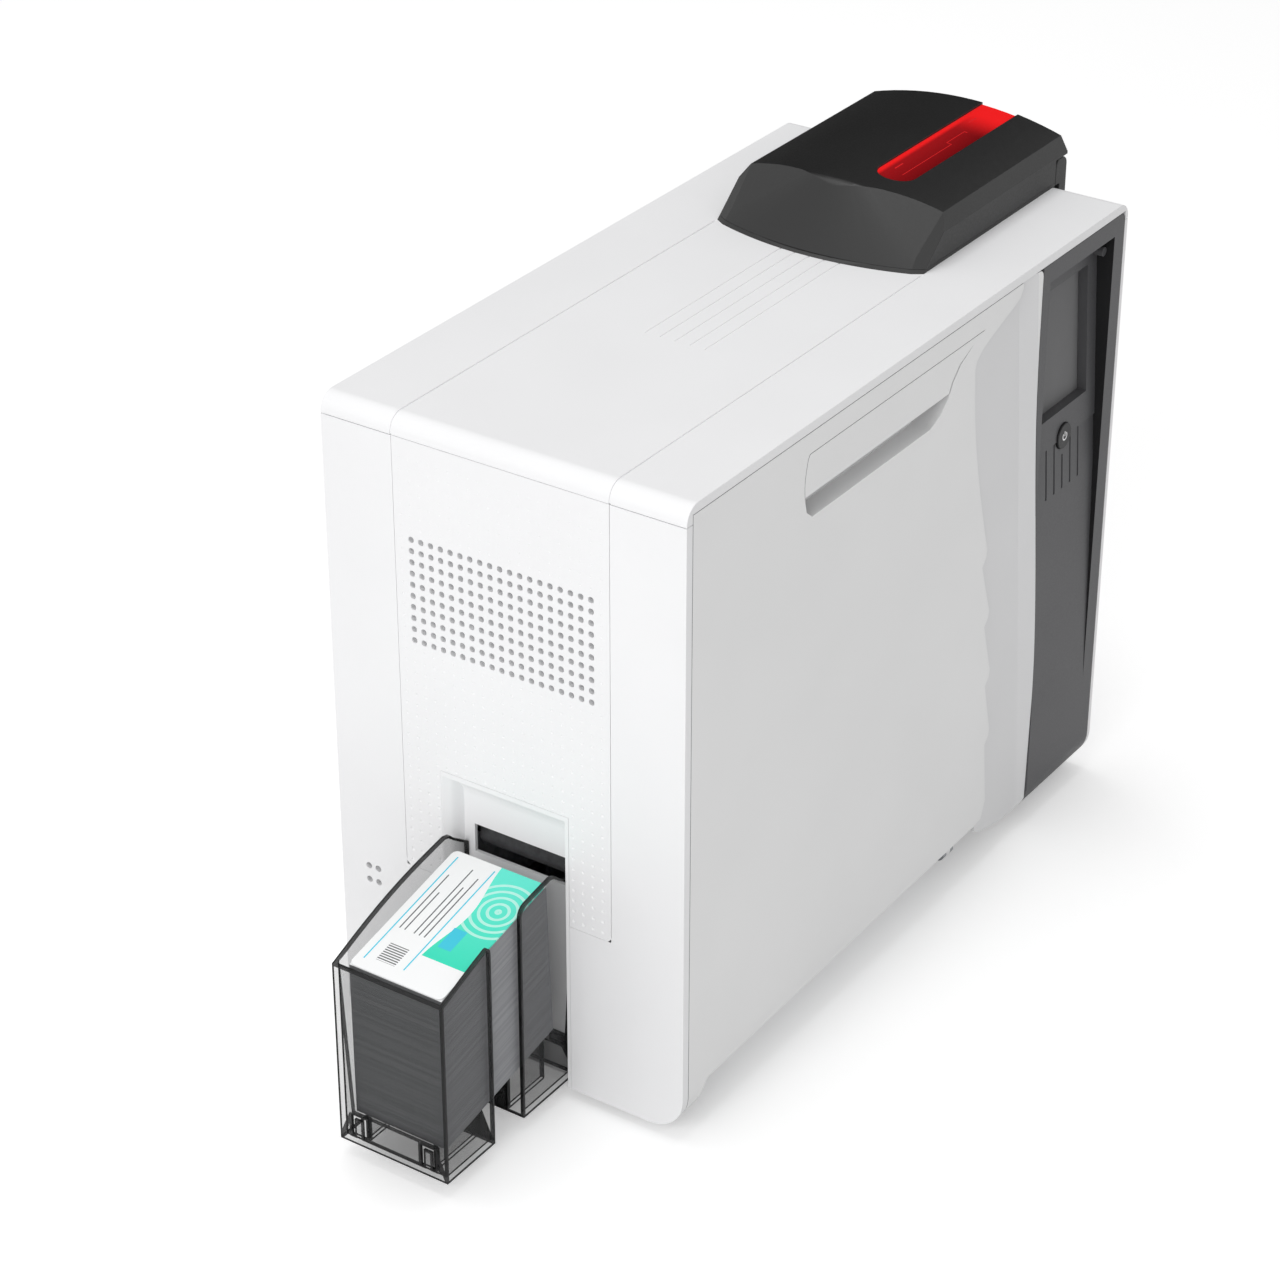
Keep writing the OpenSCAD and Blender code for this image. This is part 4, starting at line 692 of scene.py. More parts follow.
def copied(frame: dict, node: str) -> Piece:
    """Copies a solid and merges its triangles into faces.

    Args:
        node: The solid's name.

    Returns:
        The new piece, with no parent.
    """
    source = frame["nodes"][node]
    piece = source.copy()
    piece.data = source.data.copy()
    piece.name = node + "_shell"
    piece.parent = None
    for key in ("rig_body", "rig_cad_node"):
        if key in piece:
            del piece[key]
    bpy.context.scene.collection.objects.link(piece)
    edit(piece, action="SELECT")
    if piece.data.has_custom_normals:
        bpy.ops.mesh.customdata_custom_splitnormals_clear()
    bpy.ops.mesh.remove_doubles(threshold=WELD)
    bpy.ops.mesh.dissolve_limited(angle_limit=math.radians(0.4))
    leave_edit()
    return piece


def soften(piece: Piece, width_mm: float = 0.35, segments: int = 2, limit_deg: float = 34.0) -> None:
    """Rounds the edges of a piece and evens out its shading.

    Args:
        piece: The piece.
        width_mm: Width of the rounding.
        segments: Steps of the rounding.
        limit_deg: Edges flatter than this stay as they are.
    """
    modify(
        piece, "BEVEL", width=width_mm * MM, segments=segments, limit_method="ANGLE",
        angle_limit=math.radians(limit_deg), use_clamp_overlap=True, miter_outer="MITER_ARC", harden_normals=False,
    )
    smooth(piece)
    modify(piece, "WEIGHTED_NORMAL", keep_sharp=True)


# ---------------------------------------------------------------- sub-assemblies


@dataclass
class SubAssembly:
    """A group of pieces of the printer."""

    frame: dict

    def shell(
        self, node: str, body: str, slot: Slot, finish: Finish, width_mm: float = 0.35, segments: int = 2
    ) -> Piece:
        """Replaces one solid by its copy with rounded edges."""
        piece = copied(self.frame, node)
        soften(piece, width_mm, segments)
        return close_up(piece, body, slot, finish, node)

    def carry(self, finish: Finish, nodes: Iterable[str]) -> None:
        """Gives solids that stay as they are a finish."""
        for node in nodes:
            dress(self.frame["nodes"][node], finish)

    def build(self) -> None:
        """Builds and dresses the pieces."""
        raise NotImplementedError


@dataclass
class Casing(SubAssembly):
    """White mouldings round the machine, with the dimpled vent panel on the output end."""

    columns: int = 21
    rows: int = 38
    pitch_y_mm: float = 5.68
    pitch_z_mm: float = 6.0
    middle_y_mm: float = 102.8
    top_row_mm: float = 323.4
    panel_y_mm: Span = (41.45, 163.55)
    panel_z_mm: Span = (97.25, 333.25)
    pocket_y_mm: Span = (65.6, 141.1)
    pocket_top_mm: float = 159.2
    pocket_rows_from: int = 28
    pocket_side_columns: int = 4
    vent_rows: tuple[int, int] = (7, 16)
    vent_d_mm: float = 3.3
    dimple_mm: Span = (0.9, 2.2)
    dimple_depth_mm: Span = (0.2, 0.42)
    panel_t_mm: float = 1.5
    vent_t_mm: float = 4.5
    ring_mm: float = 0.5
    dimple_slope: float = 0.25

    def build(self) -> None:
        """Builds the casing's shells and the vent panel."""
        self.carry(WHITE_ABS, ["rear_panel"])
        for node in ("top_cover", "left_end_panel", "right_end_panel"):
            self.shell(node, "casing", Slot.WHITE, WHITE_ABS, 0.4)
        self.chute()
        self.vent_panel()
        self.carry(RUBBER, ["rubber_feet"])
        self.carry(STEEL, ["base_pan", "panel_screws"])

    def chute(self) -> None:
        """Narrows the exit chute's rim on its rear side, where the dimples come close to it."""
        chute = copied(self.frame, "card_exit_chute")
        limit = at(0, self.pocket_y_mm[1], 0).y - 0.1 * MM
        edit(chute, "VERT")
        select_where(chute, "verts", lambda v: v.co.y > limit)
        bpy.ops.transform.resize(value=(1, 0, 1), center_override=(0, limit, 0))
        leave_edit()
        soften(chute, 0.4)
        close_up(chute, "casing", Slot.WHITE, WHITE_ABS, "card_exit_chute")

    def cell(self, width_mm: float, depth_mm: float | None) -> Piece:
        """Models one square of the panel round the origin.

        Args:
            width_mm: Width of the round hole or dimple in its middle.
            depth_mm: How deep the dimple is, or None for a hole right through.

        Returns:
            The square, which faces the output end.
        """
        bpy.ops.mesh.primitive_plane_add(size=MM, rotation=(0, -math.pi / 2, 0))
        cell = bpy.context.active_object
        cell.scale = (self.pitch_z_mm, self.pitch_y_mm, 1)
        settle(cell)
        edit(cell, action="SELECT")
        bpy.ops.mesh.subdivide(number_cuts=2)
        bpy.ops.mesh.dissolve_faces()
        bpy.ops.mesh.inset(thickness=self.ring_mm * MM)
        bpy.ops.transform.tosphere(value=1.0)
        rim = [v.co.length for v in bmesh.from_edit_mesh(cell.data).verts if v.select]
        share = width_mm / 2 * MM / (sum(rim) / len(rim))
        bpy.ops.transform.resize(value=(share, share, share), center_override=(0, 0, 0))
        if depth_mm is None:
            bpy.ops.mesh.delete(type="FACE")
        else:
            bpy.ops.mesh.inset(thickness=width_mm * self.dimple_slope * MM, depth=-depth_mm * MM)
        leave_edit()
        return cell

    def strip(self, row: int, first: int, count: int, width_mm: float, depth_mm: float | None) -> Piece:
        """Lays a number of equal cells side by side in one row of the panel."""
        strip = self.cell(width_mm, depth_mm)
        column = first - (self.columns - 1) / 2
        strip.location = at(0, self.middle_y_mm + column * self.pitch_y_mm, self.top_row_mm - row * self.pitch_z_mm)
        modify(
            strip, "ARRAY", count=count, use_relative_offset=False, use_constant_offset=True,
            constant_offset_displace=(0, self.pitch_y_mm * MM, 0),
        )
        settle(strip)
        return strip

    def strips(self) -> list[Piece]:
        """Lays all the rows: dimples that grow downwards, and the block of holes in the upper part."""
        strips = []
        for row in range(self.rows):
            share = row / (self.rows - 1)
            dimple = [low + (high - low) * share for low, high in (self.dimple_mm, self.dimple_depth_mm)]
            if self.vent_rows[0] <= row <= self.vent_rows[1]:
                strips.append(self.strip(row, 1, self.columns - 2, self.vent_d_mm, None))
                ends = ((0, 1), (self.columns - 1, 1))
            elif row >= self.pocket_rows_from:
                beside = self.pocket_side_columns
                ends = ((0, beside), (self.columns - beside, beside))
            else:
                ends = ((0, self.columns),)
            strips += [self.strip(row, first, count, *dimple) for first, count in ends]
        return strips

    def vent_panel(self) -> None:
        """Models the panel from its cells, cuts the pocket's opening and gives it its wall."""
        strips = self.strips()
        panel = strips[0]
        panel.name = "vent_panel_dimpled"
        pick(panel)
        for strip in strips:
            strip.select_set(True)
        bpy.ops.object.join()
        edit(panel, action="SELECT")
        bpy.ops.mesh.remove_doubles(threshold=20 * SNAP)
        leave_edit()
        self.margins(panel)
        self.cut_pocket(panel)
        self.thicken(panel)
        smooth(panel, 20)
        close_up(panel, "casing", Slot.WHITE, WHITE_ABS, "vent_panel")

    def margins(self, panel: Piece) -> None:
        """Extrudes the outer edges of the cells out to the panel's edges."""
        low, high = at(0, self.panel_y_mm[0], self.panel_z_mm[0]), at(0, self.panel_y_mm[1], self.panel_z_mm[1])
        for axis, limit, outer in ((1, low.y, min), (1, high.y, max), (2, low.z, min), (2, high.z, max)):
            edge_at = outer(v.co[axis] for v in panel.data.vertices)
            edit(panel, "EDGE")
            select_where(panel, "edges", lambda e: all(abs(v.co[axis] - edge_at) < 20 * SNAP for v in e.verts))
            move = [0.0, 0.0, 0.0]
            move[axis] = limit - edge_at
            bpy.ops.mesh.extrude_region_move(TRANSFORM_OT_translate={"value": move})
            leave_edit()

    def cut_pocket(self, panel: Piece) -> None:
        """Trims the cells along the opening of the exit pocket."""
        y0, y1 = (at(0, y, 0).y for y in self.pocket_y_mm)
        top = at(0, 0, self.pocket_top_mm).z
        near = self.pitch_z_mm * MM
        edit(panel)
        for axis, limit in ((1, y0), (1, y1), (2, top)):
            point, normal = [0.0, 0.0, 0.0], [0.0, 0.0, 0.0]
            point[axis], normal[axis] = limit, 1.0
            bpy.ops.mesh.select_all(action="DESELECT")
            select_where(
                panel, "faces",
                lambda f: abs(f.calc_center_median()[axis] - limit) < near and f.calc_center_median().z < top + near,
            )
            bpy.ops.mesh.bisect(plane_co=point, plane_no=normal, threshold=SNAP)
        bpy.ops.mesh.select_all(action="DESELECT")
        select_where(panel, "faces", lambda f: y0 < f.calc_center_median().y < y1 and f.calc_center_median().z < top)
        bpy.ops.mesh.delete(type="FACE")
        leave_edit()

    def thicken(self, panel: Piece) -> None:
        """Gives the panel its wall, thicker round the vent holes."""
        first, last = self.vent_rows
        reach = (self.columns / 2 - 1) * self.pitch_y_mm * MM + SNAP
        high = at(0, 0, self.top_row_mm - (first - 0.5) * self.pitch_z_mm).z + SNAP
        low = at(0, 0, self.top_row_mm - (last + 0.5) * self.pitch_z_mm).z - SNAP
        middle = at(0, self.middle_y_mm, 0).y
        pick(panel)
        bpy.ops.object.vertex_group_add()
        edit(panel, "VERT")
        select_where(panel, "verts", lambda v: abs(v.co.y - middle) < reach and low < v.co.z < high)
        bpy.ops.object.vertex_group_assign()
        leave_edit()
        modify(
            panel, "SOLIDIFY", thickness=self.vent_t_mm * MM, offset=-1, vertex_group=panel.vertex_groups[0].name,
            thickness_vertex_group=self.panel_t_mm / self.vent_t_mm,
        )


@dataclass
class Door(SubAssembly):
    """Drop-down front door with its pull flap."""

    band_from_mm: float = 285.0
    front_mm: float = 4.0
    left_mm: float = 10.0
    top_mm: float = 328.0
    band_tilt: Span = (-0.9995, -0.8)
    band_mm2: float = 300.0

    def in_band(self, face: Face) -> bool:
        """Tells whether a face belongs to the facet band along the door's control end."""
        centre = face.calc_center_median()
        tilted = self.band_tilt[0] < face.normal.y < self.band_tilt[1]
        wide = face.calc_area() > self.band_mm2 * MM * MM
        return tilted and wide and centre.x > at(self.band_from_mm, 0, 0).x and centre.y < at(0, self.front_mm, 0).y

    def at_parting(self, face: Face) -> bool:
        """Tells whether a face looks into the gap along the door's upper or left edge; these faces take a dark grey
        as painted shade.
        """
        centre = face.calc_center_median()
        upper = face.normal.z > 0.8 and centre.z > at(0, 0, self.top_mm).z
        left = face.normal.x < -0.8 and centre.x < at(self.left_mm, 0, 0).x
        return upper or left

    def build(self) -> None:
        """Builds the door."""
        door = self.shell("front_door", "door", Slot.GREY, DOOR_ABS, 0.5)
        # painted shade: the facet band's faces take the darker grey
        second_finish(door, BAND_SHADE_ABS, self.in_band)
        # painted shade: the faces along the gap at the door's upper and left edges
        second_finish(door, GAP_SHADE_ABS, self.at_parting)
        flap = self.shell("door_latch_flap", "latch_flap", Slot.GREY, DOOR_ABS, 0.3)
        # painted shade: the flap's rim, seen through the gap round it
        second_finish(flap, GAP_SHADE_ABS, lambda f: abs(f.normal.y) < 0.3)
        self.carry(SHAFT_STEEL, ["door_hinge_pins"])


@dataclass
class ControlPanel(SubAssembly):
    """Dark control panel with its display and power button."""

    recess_end_mm: float = 403.3
    mark_mm: Point = (368.4, 3.68, 225.0)
    mark_radius_mm: float = 2.5
    mark_line_mm: float = 0.7
    mark_t_mm: float = 0.08
    ring_cut: float = 0.8
    bar: Span = (0.55, 1.1)

    def build(self) -> None:
        """Builds the panel, display and button."""
        panel = self.shell("control_panel", "casing", Slot.DARK_GREY, FRAME_ABS, 0.4)
        wall = at(self.recess_end_mm, 0, 0).x
        # painted shade: the end wall of the recess takes a near-black
        second_finish(panel, RECESS_SHADE_ABS, lambda f: f.normal.x < -0.9 and abs(f.calc_center_median().x - wall) < MM)
        self.shell("lcd_display", "casing", Slot.GLASS, SCREEN, 0.3)
        self.shell("power_button", "power_button", Slot.BLACK, BUTTON_ABS, 0.5, 3)
        self.power_mark()
        self.carry(BOARD, ["control_board"])

    def power_mark(self) -> None:
        """Models the open ring and the bar of the power symbol on the button's face."""
        centre = at(*self.mark_mm)
        radius, line = self.mark_radius_mm * MM, self.mark_line_mm * MM
        bpy.ops.mesh.primitive_circle_add(vertices=40, radius=radius, location=centre, rotation=(math.pi / 2, 0, 0))
        mark = bpy.context.active_object
        mark.name = "power_symbol"
        settle(mark)
        edit(mark, "VERT")
        select_where(mark, "verts", lambda v: v.co.z > centre.z + radius * self.ring_cut)
        bpy.ops.mesh.delete(type="VERT")
        bpy.ops.mesh.select_all(action="SELECT")
        bpy.ops.mesh.extrude_region_move()
        share = 1 - line / radius
        bpy.ops.transform.resize(value=(share, 1, share), center_override=centre)
        bpy.ops.mesh.select_all(action="DESELECT")
        middle = centre + Vector((0, 0, radius * self.bar[0]))
        bpy.ops.mesh.primitive_plane_add(size=1, location=middle, rotation=(math.pi / 2, 0, 0))
        bpy.ops.transform.resize(value=(line, 1, radius * self.bar[1]), center_override=middle)
        leave_edit()
        modify(mark, "SOLIDIFY", thickness=self.mark_t_mm * MM, offset=0)
        edit(mark)
        turn_outward()
        leave_edit()
        close_up(mark, "power_button", Slot.WHITE, MARK_WHITE)


@dataclass
class Feeder(SubAssembly):
    """Black card feeder with its arched lid and red window, and the card shaft under it."""

    side_mm: Span = (41.2, 163.8)
    end_mm: Span = (262.0, 424.5)
    casing_top_mm: float = 343.0
    lid_base_mm: float = 344.8
    lid_top_mm: float = 374.7
    block_mm: Span = (412.2, 357.3)
    wall_mm: float = 2.2
    roof_mm: float = 200.0
    bow_mm: float = 165.0
    run: float = 0.86
    corner_run: float = 1.12
    nose_mm: float = 9.0
    nose_arch_mm: float = 182.0
    nose_steps: int = 4
    facet_mm: float = 5.2
    facet_run: float = 0.67
    step_deg: float = 2.0
    window_mm: tuple[float, float, float] = (307.5, 82.6, 21.4)
    window_sink_mm: float = 0.9
    window_slack_mm: float = 0.1
    window_t_mm: float = 1.9
    knuckle_mm: Span = (414.3, 56.4)
    knuckle_rise_mm: float = 1.8
    facet_lean: float = 1.07
    spare_mm: float = 1.0
    # distance in from the side and height over the roof's top, from the outer to the inner end
    near_shoulder: tuple[Span, ...] = ((0.0, -15.2), (4.4, -8.3), (12.0, 5.0))
    far_shoulder: tuple[Span, ...] = ((0.0, -14.0), (3.4, -9.3), (12.0, 5.0))

    def build(self) -> None:
        """Builds the base, lid, window and hinge block."""
        base = copied(self.frame, "feeder_base")
        trim(base, [*self.front(), *self.facets()])
        soften(base, 0.3)
        close_up(base, "casing", Slot.BLACK, BLACK_ABS, "feeder_base")
        self.lid()
        self.window()
        self.shell("lid_hinge_block", "casing", Slot.BLACK, BLACK_ABS, 0.5)
        self.carry(BLACK_ABS, ["card_shaft", "card_weight"])
        self.carry(PVC_WHITE, ["blank_cards"])
        self.carry(SHAFT_STEEL, ["lid_hinge_pin"])

    @property
    def middle(self) -> float:
        """The feeder's middle, in millimetres from the door."""
        return sum(self.side_mm) / 2

    def fan(self, radius_mm: float) -> list[float]:
        """Returns the directions, in radians, that cover the feeder's width on an arc."""
        reach = math.degrees(math.asin((self.side_mm[1] - self.middle) / radius_mm)) + self.step_deg
        count = math.ceil(reach / self.step_deg)
        return [math.radians(i * self.step_deg) for i in range(-count, count + 1)]

    def roof(self) -> list[Plane]:
        """Returns the planes of the arched roof and of its chamfered shoulders."""
        axis = self.lid_top_mm - self.roof_mm
        planes = []
        for a in self.fan(self.roof_mm):
            normal = Vector((0, math.sin(a), math.cos(a)))
            planes.append((at(0, self.middle + self.roof_mm * normal.y, axis + self.roof_mm * normal.z), normal))
        shoulders = zip(self.side_mm, (1, -1), (self.near_shoulder, self.far_shoulder))
        for side, sign, points in shoulders:
            for (in0, up0), (in1, up1) in zip(points, points[1:]):
                normal = Vector((0, -sign * (up1 - up0), in1 - in0)).normalized()
                planes.append((at(0, side + sign * in0, self.lid_top_mm + up0), normal))
        return planes

    def front(self) -> list[Plane]:
        """Returns the planes of the bowed front, which leans back."""
        planes = []
        fan = self.fan(self.bow_mm)
        for a in fan:
            out = Vector((-math.cos(a), math.sin(a), 0))
            run = self.run + (self.corner_run - self.run) * (a / fan[-1]) ** 2
            x, y = self.end_mm[0] + self.bow_mm * (1 + out.x), self.middle + self.bow_mm * out.y
            planes.append((at(x, y, self.casing_top_mm), (out + Vector((0, 0, run))).normalized()))
        return planes

    def nose(self) -> list[Plane]:
        """Returns the planes that turn the roof down to the front, in arches that tilt further and further."""
        height = self.lid_top_mm - self.casing_top_mm
        x = self.end_mm[0] + self.run * (height - self.nose_mm) + self.nose_mm * math.hypot(1, self.run)
        planes = []
        for step in range(1, self.nose_steps + 1):
            tilt = step * math.atan(1 / self.run) / (self.nose_steps + 1)
            up = Vector((-math.sin(tilt), 0, math.cos(tilt)))
            axis = at(x, self.middle, self.lid_top_mm - self.nose_mm) + up * (self.nose_mm - self.nose_arch_mm) * MM
            for a in self.fan(self.nose_arch_mm):
                normal = up * math.cos(a) + Vector((0, math.sin(a), 0))
                planes.append((axis + normal * self.nose_arch_mm * MM, normal))
        return planes

    def facets(self) -> list[Plane]:
        """Returns the plane of the flat facet on each front corner."""
        lean = math.atan(self.facet_lean * self.corner_run)
        half = self.middle - self.side_mm[0]
        inner = half - self.facet_mm
        depth = self.bow_mm - math.sqrt(self.bow_mm**2 - inner**2) + self.facet_run * self.facet_mm
        depth *= math.cos(lean)
        slant = math.cos(lean) * self.facet_run
        x, z = self.end_mm[0] + depth * math.cos(lean), self.casing_top_mm - depth * math.sin(lean)
        planes = []
        for sign in (-1, 1):
            normal = Vector((-math.cos(lean), sign * slant, math.sin(lean))).normalized()
            planes.append((at(x, self.middle + sign * half, z), normal))
        return planes

    def space(self, name: str, inset_mm: float) -> Piece:
        """Models the feeder's outer form as a solid, or the same form inside it."""
        spare = self.spare_mm
        low = at(self.end_mm[0] - spare, self.side_mm[0] + inset_mm, self.lid_base_mm - spare * (inset_mm > 0))
        high = at(self.end_mm[1] - inset_mm, self.side_mm[1] - inset_mm, self.lid_top_mm + spare)
        block = cuboid(name, low, high)
        trim(block, [*self.roof(), *self.nose(), *self.front(), *self.facets()], inset_mm)
        return block

    def slot_tool(self, inset_mm: float) -> Piece:
        """Models the window's outline as a tall solid: round at one end, open at the other."""
        x, y, width = self.window_mm
        bpy.ops.mesh.primitive_circle_add(
            vertices=48, radius=(width / 2 - inset_mm) * MM, fill_type="NGON",
            location=at(x + width / 2, y, self.block_mm[1] + 2 + inset_mm),
        )
        tool = bpy.context.active_object
        settle(tool)
        edit(tool, "VERT")
        middle = at(x + width / 2, 0, 0).x
        select_where(tool, "verts", lambda v: v.co.x > middle + SNAP)
        bpy.ops.transform.resize(value=(0, 1, 1), center_override=at(self.end_mm[1] + 4, 0, 0))
        bpy.ops.mesh.select_mode(type="FACE")
        bpy.ops.mesh.select_all(action="SELECT")
        bpy.ops.mesh.extrude_region_move(TRANSFORM_OT_translate={"value": (0, 0, 40 * MM)})
        turn_outward()
        leave_edit()
        return tool

    def lid(self) -> None:
        """Models the hollow lid with its window opening, its step over the hinge block and its knuckle."""
        lid = self.space("feeder_lid_shell", 0.0)
        edit(lid, "EDGE")
        flat = [normal for _, normal in self.facets()]

        def bounds_facet(edge: Edge) -> bool:
            """Tells whether just one of an edge's faces is a facet."""
            return sum(any(f.normal.dot(n) > 0.9999 for n in flat) for f in edge.link_faces) == 1

        select_where(lid, "edges", bounds_facet)
        bpy.ops.mesh.mark_sharp()
        leave_edit()
        carve(lid, self.space("lid_hollow", self.wall_mm))
        carve(lid, self.slot_tool(0.0))
        x, z = self.block_mm
        carve(lid, cuboid("over_block", at(x, 0, 300), at(x + 50, 200, z)))
        knuckle = copied(self.frame, "feeder_lid")
        x, width = self.knuckle_mm
        back, up, side = Vector((-1, 0, 0)), Vector((0, 0, 1)), Vector((0, 1, 0))
        trim(knuckle, [
            (at(x, 0, 0), back), (at(0, 0, z + self.knuckle_rise_mm), up),
            (at(0, self.middle + width / 2, 0), side), (at(0, self.middle - width / 2, 0), -side),
        ])
        carve(lid, knuckle, "UNION")
        soften(lid, 0.7, 3, 28)
        close_up(lid, "feeder_lid", Slot.BLACK, BLACK_ABS, "feeder_lid")

    def window(self) -> None:
        """Models the window as a thin shell that lies just inside the lid's surface."""
        window = self.space("feeder_window_shell", self.window_sink_mm)
        carve(window, self.space("window_hollow", self.window_sink_mm + self.window_t_mm))
        carve(window, self.slot_tool(self.window_slack_mm), "INTERSECT")
        soften(window, 0.25)
        close_up(window, "feeder_lid", Slot.RED, RED_ACRYLIC, "feeder_window")


@dataclass
class Hopper(SubAssembly):
    """Smoked output hopper with its printed cards."""

    card_corner_mm: Point = (-94.2, 71.5, 106.6)
    gap_mm: Span = (-59.6, -36.0)
    wall_mm: float = 2.0
    rim_mm: float = 105.0
    border_mm: float = 1.2
    large_mm2: float = 300.0
    gap_radius_mm: float = 5.0

    def at_gap(self, edge: Edge) -> bool:
        """Tells whether an edge crosses the wall at an upper corner of the finger gap."""
        a, b = (v.co for v in edge.verts)
        wall, slack = self.wall_mm * MM, 0.1 * MM
        across = abs(edge.calc_length() - wall) < slack and abs(a.y - b.y) > 0.9 * wall
        high = min(a.z, b.z) > at(0, 0, self.rim_mm).z
        return across and high and any(abs(a.x - at(x, 0, 0).x) < slack for x in self.gap_mm)

    def border(self, hopper: Piece) -> None:
        """Parts a narrow strip from the edge of each large wall face, which then takes the near-black edge finish as
        painted shade.
        """
        edit(hopper)
        large = self.large_mm2 * MM * MM
        if select_where(hopper, "faces", lambda f: f.calc_area() > large and f.normal.z < 0.9):
            bpy.ops.mesh.inset(thickness=self.border_mm * MM, depth=0, use_individual=True)
        leave_edit()

    def build(self) -> None:
        """Builds the hopper and the cards in it."""
        hopper = copied(self.frame, "output_hopper")
        round_edges(hopper, self.at_gap, self.gap_radius_mm)
        self.border(hopper)
        soften(hopper, 0.3)
        close_up(hopper, "hopper", Slot.SMOKE, SMOKED_ACRYLIC, "output_hopper")
        # painted shade: narrow rim faces and border strips take the near-black edge finish
        second_finish(hopper, SMOKED_EDGE_SHADE, lambda f: is_narrow(f, 1.15 * self.wall_mm))
        stack = copied(self.frame, "printed_card_stack")
        soften(stack, 0.25)
        close_up(stack, "hopper", Slot.CARD, PVC_EDGES, "printed_card_stack")
        # painted shade: the stack's ends and its door side take darker greys
        second_finish(stack, CARD_ENDS_SHADE, lambda f: f.normal.x < -0.9)
        second_finish(stack, CARD_SIDES_SHADE, lambda f: f.normal.y < -0.9)
        face = PrintedCardFace("printed_card_face", "#f3f4f4", 0.22, corner_mm=self.card_corner_mm)
        self.carry(face, ["printed_card"])


@dataclass
class Works(SubAssembly):
    """Chassis, print engine and electronics, whose solids stay as they are."""

    finishes: tuple[tuple[Finish, str], ...] = (
        (STEEL, "chassis_plate bearing_plate power_supply data_ports"),
        (SHAFT_STEEL, "tie_bars guide_bars head_pivot"),
        (RUBBER, "exit_roller exit_idler transport_roller transport_idler feed_roller"),
        (RUBBER, "pick_roller card_platen print_platen drive_belt pick_belt"),
        (TACKY_RUBBER, "cleaning_roller"),
        (HEAT_RUBBER, "heat_roller"),
        (DYE, "ribbon_supply ribbon_takeup ribbon_web"),
        (FILM, "film_supply film_takeup film_web"),
        (ALUMINIUM, "print_head"),
        (BRASS, "motor_pinion"),
        (BOARD, "main_board"),
        (BLACK_ABS, "drive_motor fan_frame fan_rotor inlet_socket"),
    )

    def build(self) -> None:
        """Dresses the pieces."""
        for finish, nodes in self.finishes:
            self.carry(finish, nodes.split())


# ---------------------------------------------------------------- studio


@dataclass(frozen=True)
class Lamp:
    """One soft box: its name, place, the point it faces, its sides and its power."""

    name: str
    place: Point
    side: float
    power: float
    aim: Point = (0.0, 0.0, 0.15)

    def build(self) -> None:
        """Puts the lamp into the scene."""
        data = bpy.data.lights.new(self.name, "AREA")
        data.shape, data.size, data.energy = "SQUARE", self.side, self.power
        lamp = bpy.data.objects.new(self.name, data)
        lamp.location = self.place
        lamp.rotation_euler = (Vector(self.aim) - Vector(self.place)).to_track_quat("-Z", "Y").to_euler()
        bpy.context.scene.collection.objects.link(lamp)


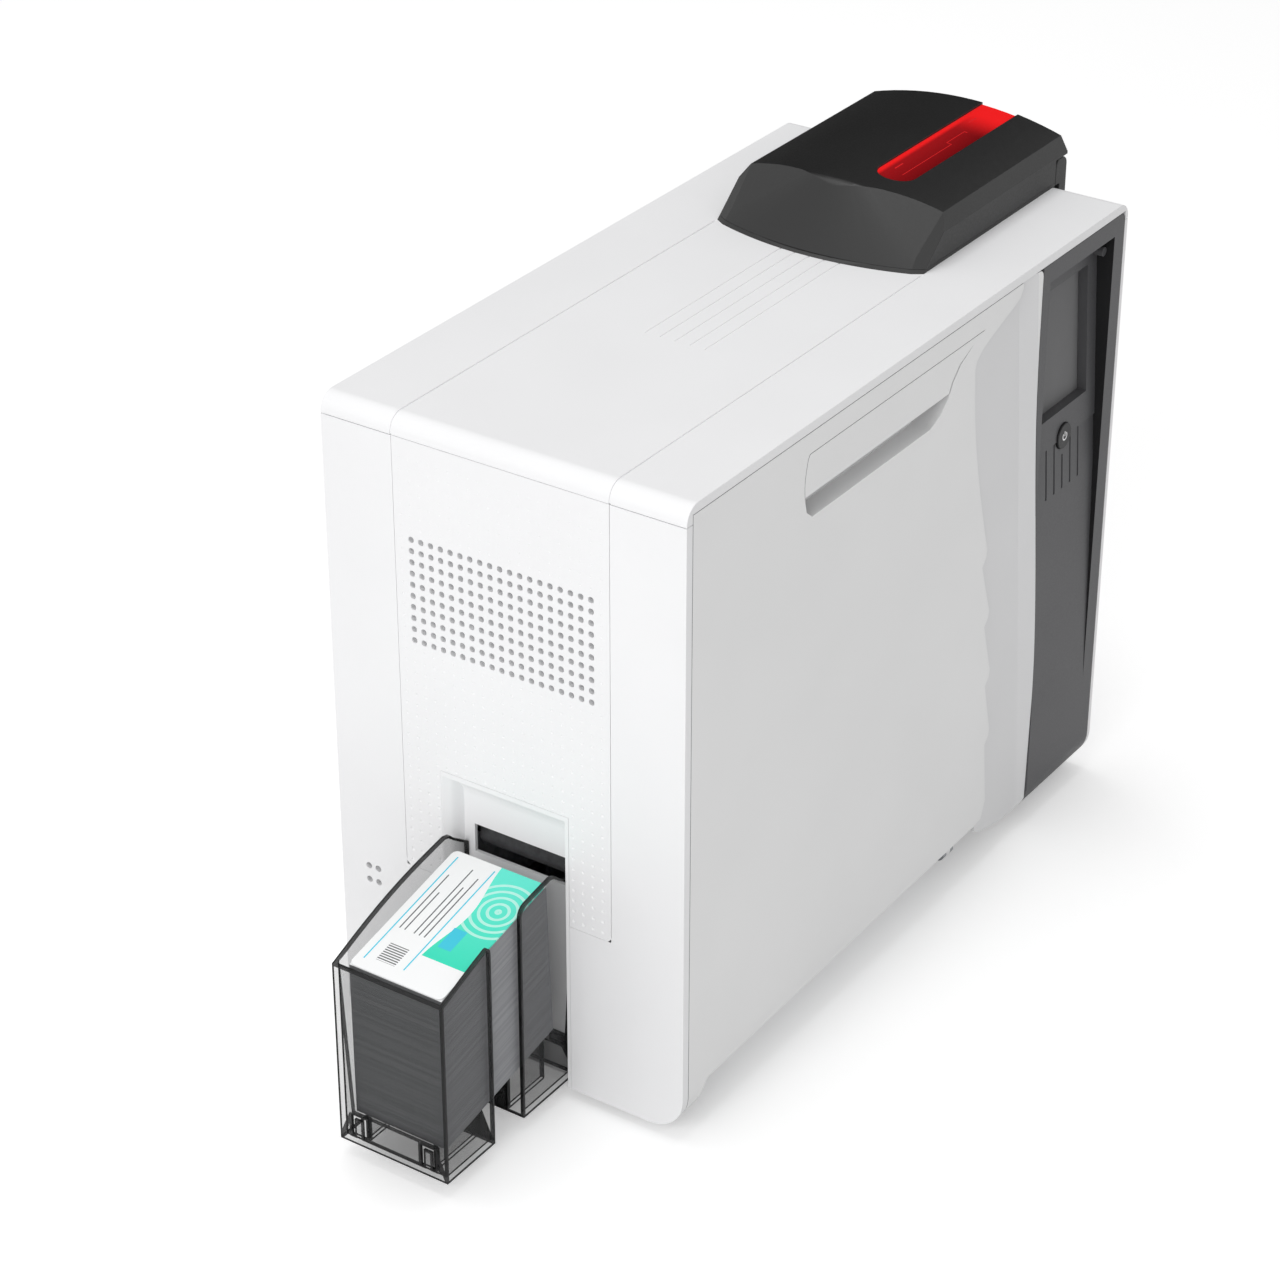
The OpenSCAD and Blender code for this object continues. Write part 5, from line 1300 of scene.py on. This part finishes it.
@dataclass(frozen=True)
class Studio:
    """Pale floor, soft boxes and the camera at the photograph's angle."""

    eye: Point = (-1.2997, -0.8499, 1.0659)
    azimuth_deg: float = -55.8
    elevation_deg: float = 29.95
    lens_mm: float = 99.06
    sky: float = 0.54
    floor_tone: str = "#f4f4f4"
    floor_glow: float = 0.3
    flag_at: Point = (1.38, 0.8, 1.02)
    flag_side: float = 1.7
    flag_aim: Point = (0.15, 0.0, 0.37)
    floor_side: float = 14.0
    floor_drop: float = 0.0002
    lamps: tuple[Lamp, ...] = (
        Lamp("end_box", (-2.6, -0.5, 1.3), 1.8, 31.0),
        Lamp("top_box", (0.0, 0.4, 2.9), 1.8, 23.4),
    )

    def build(self) -> None:
        """Sets the light, the floor and the camera."""
        self.world()
        for lamp in self.lamps:
            lamp.build()
        self.floor()
        self.flag()
        self.camera()
        bpy.context.scene.view_settings.view_transform = "Standard"

    def world(self) -> None:
        """Lights the object evenly, and shows plain white to the camera."""
        world = bpy.data.worlds.new("studio")
        bpy.context.scene.world = world
        world.use_nodes = True
        tree = world.node_tree
        tree.nodes.clear()
        rays = add_node(tree, "LightPath")
        seen = rays.outputs["Is Camera Ray"]
        for kind in ("Is Glossy Ray", "Is Transmission Ray"):
            seen = reckon(tree, "MAXIMUM", seen, rays.outputs[kind])
        strength = add_node(tree, "MapRange", {"Value": seen, "To Min": self.sky, "To Max": 1.0}).outputs["Result"]
        shader = add_node(tree, "Background", {"Color": (1.0, 1.0, 1.0, 1.0), "Strength": strength})
        add_node(tree, "OutputWorld", {"Surface": shader.outputs[0]})

    def floor(self) -> None:
        """Adds a wide pale floor that is white to the camera apart from the object's shadow."""
        bpy.ops.mesh.primitive_plane_add(size=self.floor_side, location=(0, 0, -self.floor_drop))
        floor = bpy.context.active_object
        floor.name = "studio_floor"
        material = bpy.data.materials.new("studio_floor_paper")
        material.use_nodes = True
        tree = material.node_tree
        shader = tree.nodes["Principled BSDF"]
        shader.inputs["Base Color"].default_value = linear(self.floor_tone)
        shader.inputs["Roughness"].default_value = 0.9
        shader.inputs["Specular IOR Level"].default_value = 0.0
        rays = add_node(tree, "LightPath")
        glow = add_node(tree, "Emission", {"Color": (1, 1, 1, 1), "Strength": self.floor_glow})
        both = add_node(tree, "AddShader", {0: shader.outputs[0], 1: glow.outputs[0]})
        links = {0: rays.outputs["Is Camera Ray"], 1: shader.outputs[0], 2: both.outputs[0]}
        mixed = add_node(tree, "MixShader", links)
        tree.links.new(mixed.outputs[0], tree.nodes["Material Output"].inputs["Surface"])
        floor.data.materials.append(material)

    def flag(self) -> None:
        """Adds the black panel behind the printer that dark glossy surfaces mirror."""
        bpy.ops.mesh.primitive_plane_add(size=self.flag_side, location=self.flag_at)
        flag = bpy.context.active_object
        flag.name = "studio_flag"
        flag.rotation_euler = (Vector(self.flag_aim) - Vector(self.flag_at)).to_track_quat("Z", "Y").to_euler()
        flag.visible_camera = flag.visible_diffuse = flag.visible_transmission = flag.visible_shadow = False
        dress(flag, RollerRubber("studio_black_cloth", "#010101", 1.0, shade="#020202", specular=0.0))

    def camera(self) -> None:
        """Adds the camera."""
        data = bpy.data.cameras.new("camera")
        data.lens, data.sensor_width, data.sensor_fit = self.lens_mm, 36.0, "HORIZONTAL"
        data.clip_start, data.clip_end = 0.05, 50.0
        camera = bpy.data.objects.new("camera", data)
        a, e = math.radians(self.azimuth_deg), math.radians(self.elevation_deg)
        forward = Vector((-math.sin(a) * math.cos(e), math.cos(a) * math.cos(e), -math.sin(e)))
        camera.location = self.eye
        camera.rotation_euler = forward.to_track_quat("-Z", "Y").to_euler()
        bpy.context.scene.collection.objects.link(camera)
        bpy.context.scene.camera = camera


def main() -> None:
    """Builds the scene around the solids."""
    logging.basicConfig(level=logging.INFO, format="%(name)s: %(message)s")
    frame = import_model()
    for group in (Casing, Door, ControlPanel, Feeder, Hopper, Works):
        group(frame).build()
        log.info("%s is ready", group.__name__)
    Studio().build()


if __name__ == "__main__":
    main()
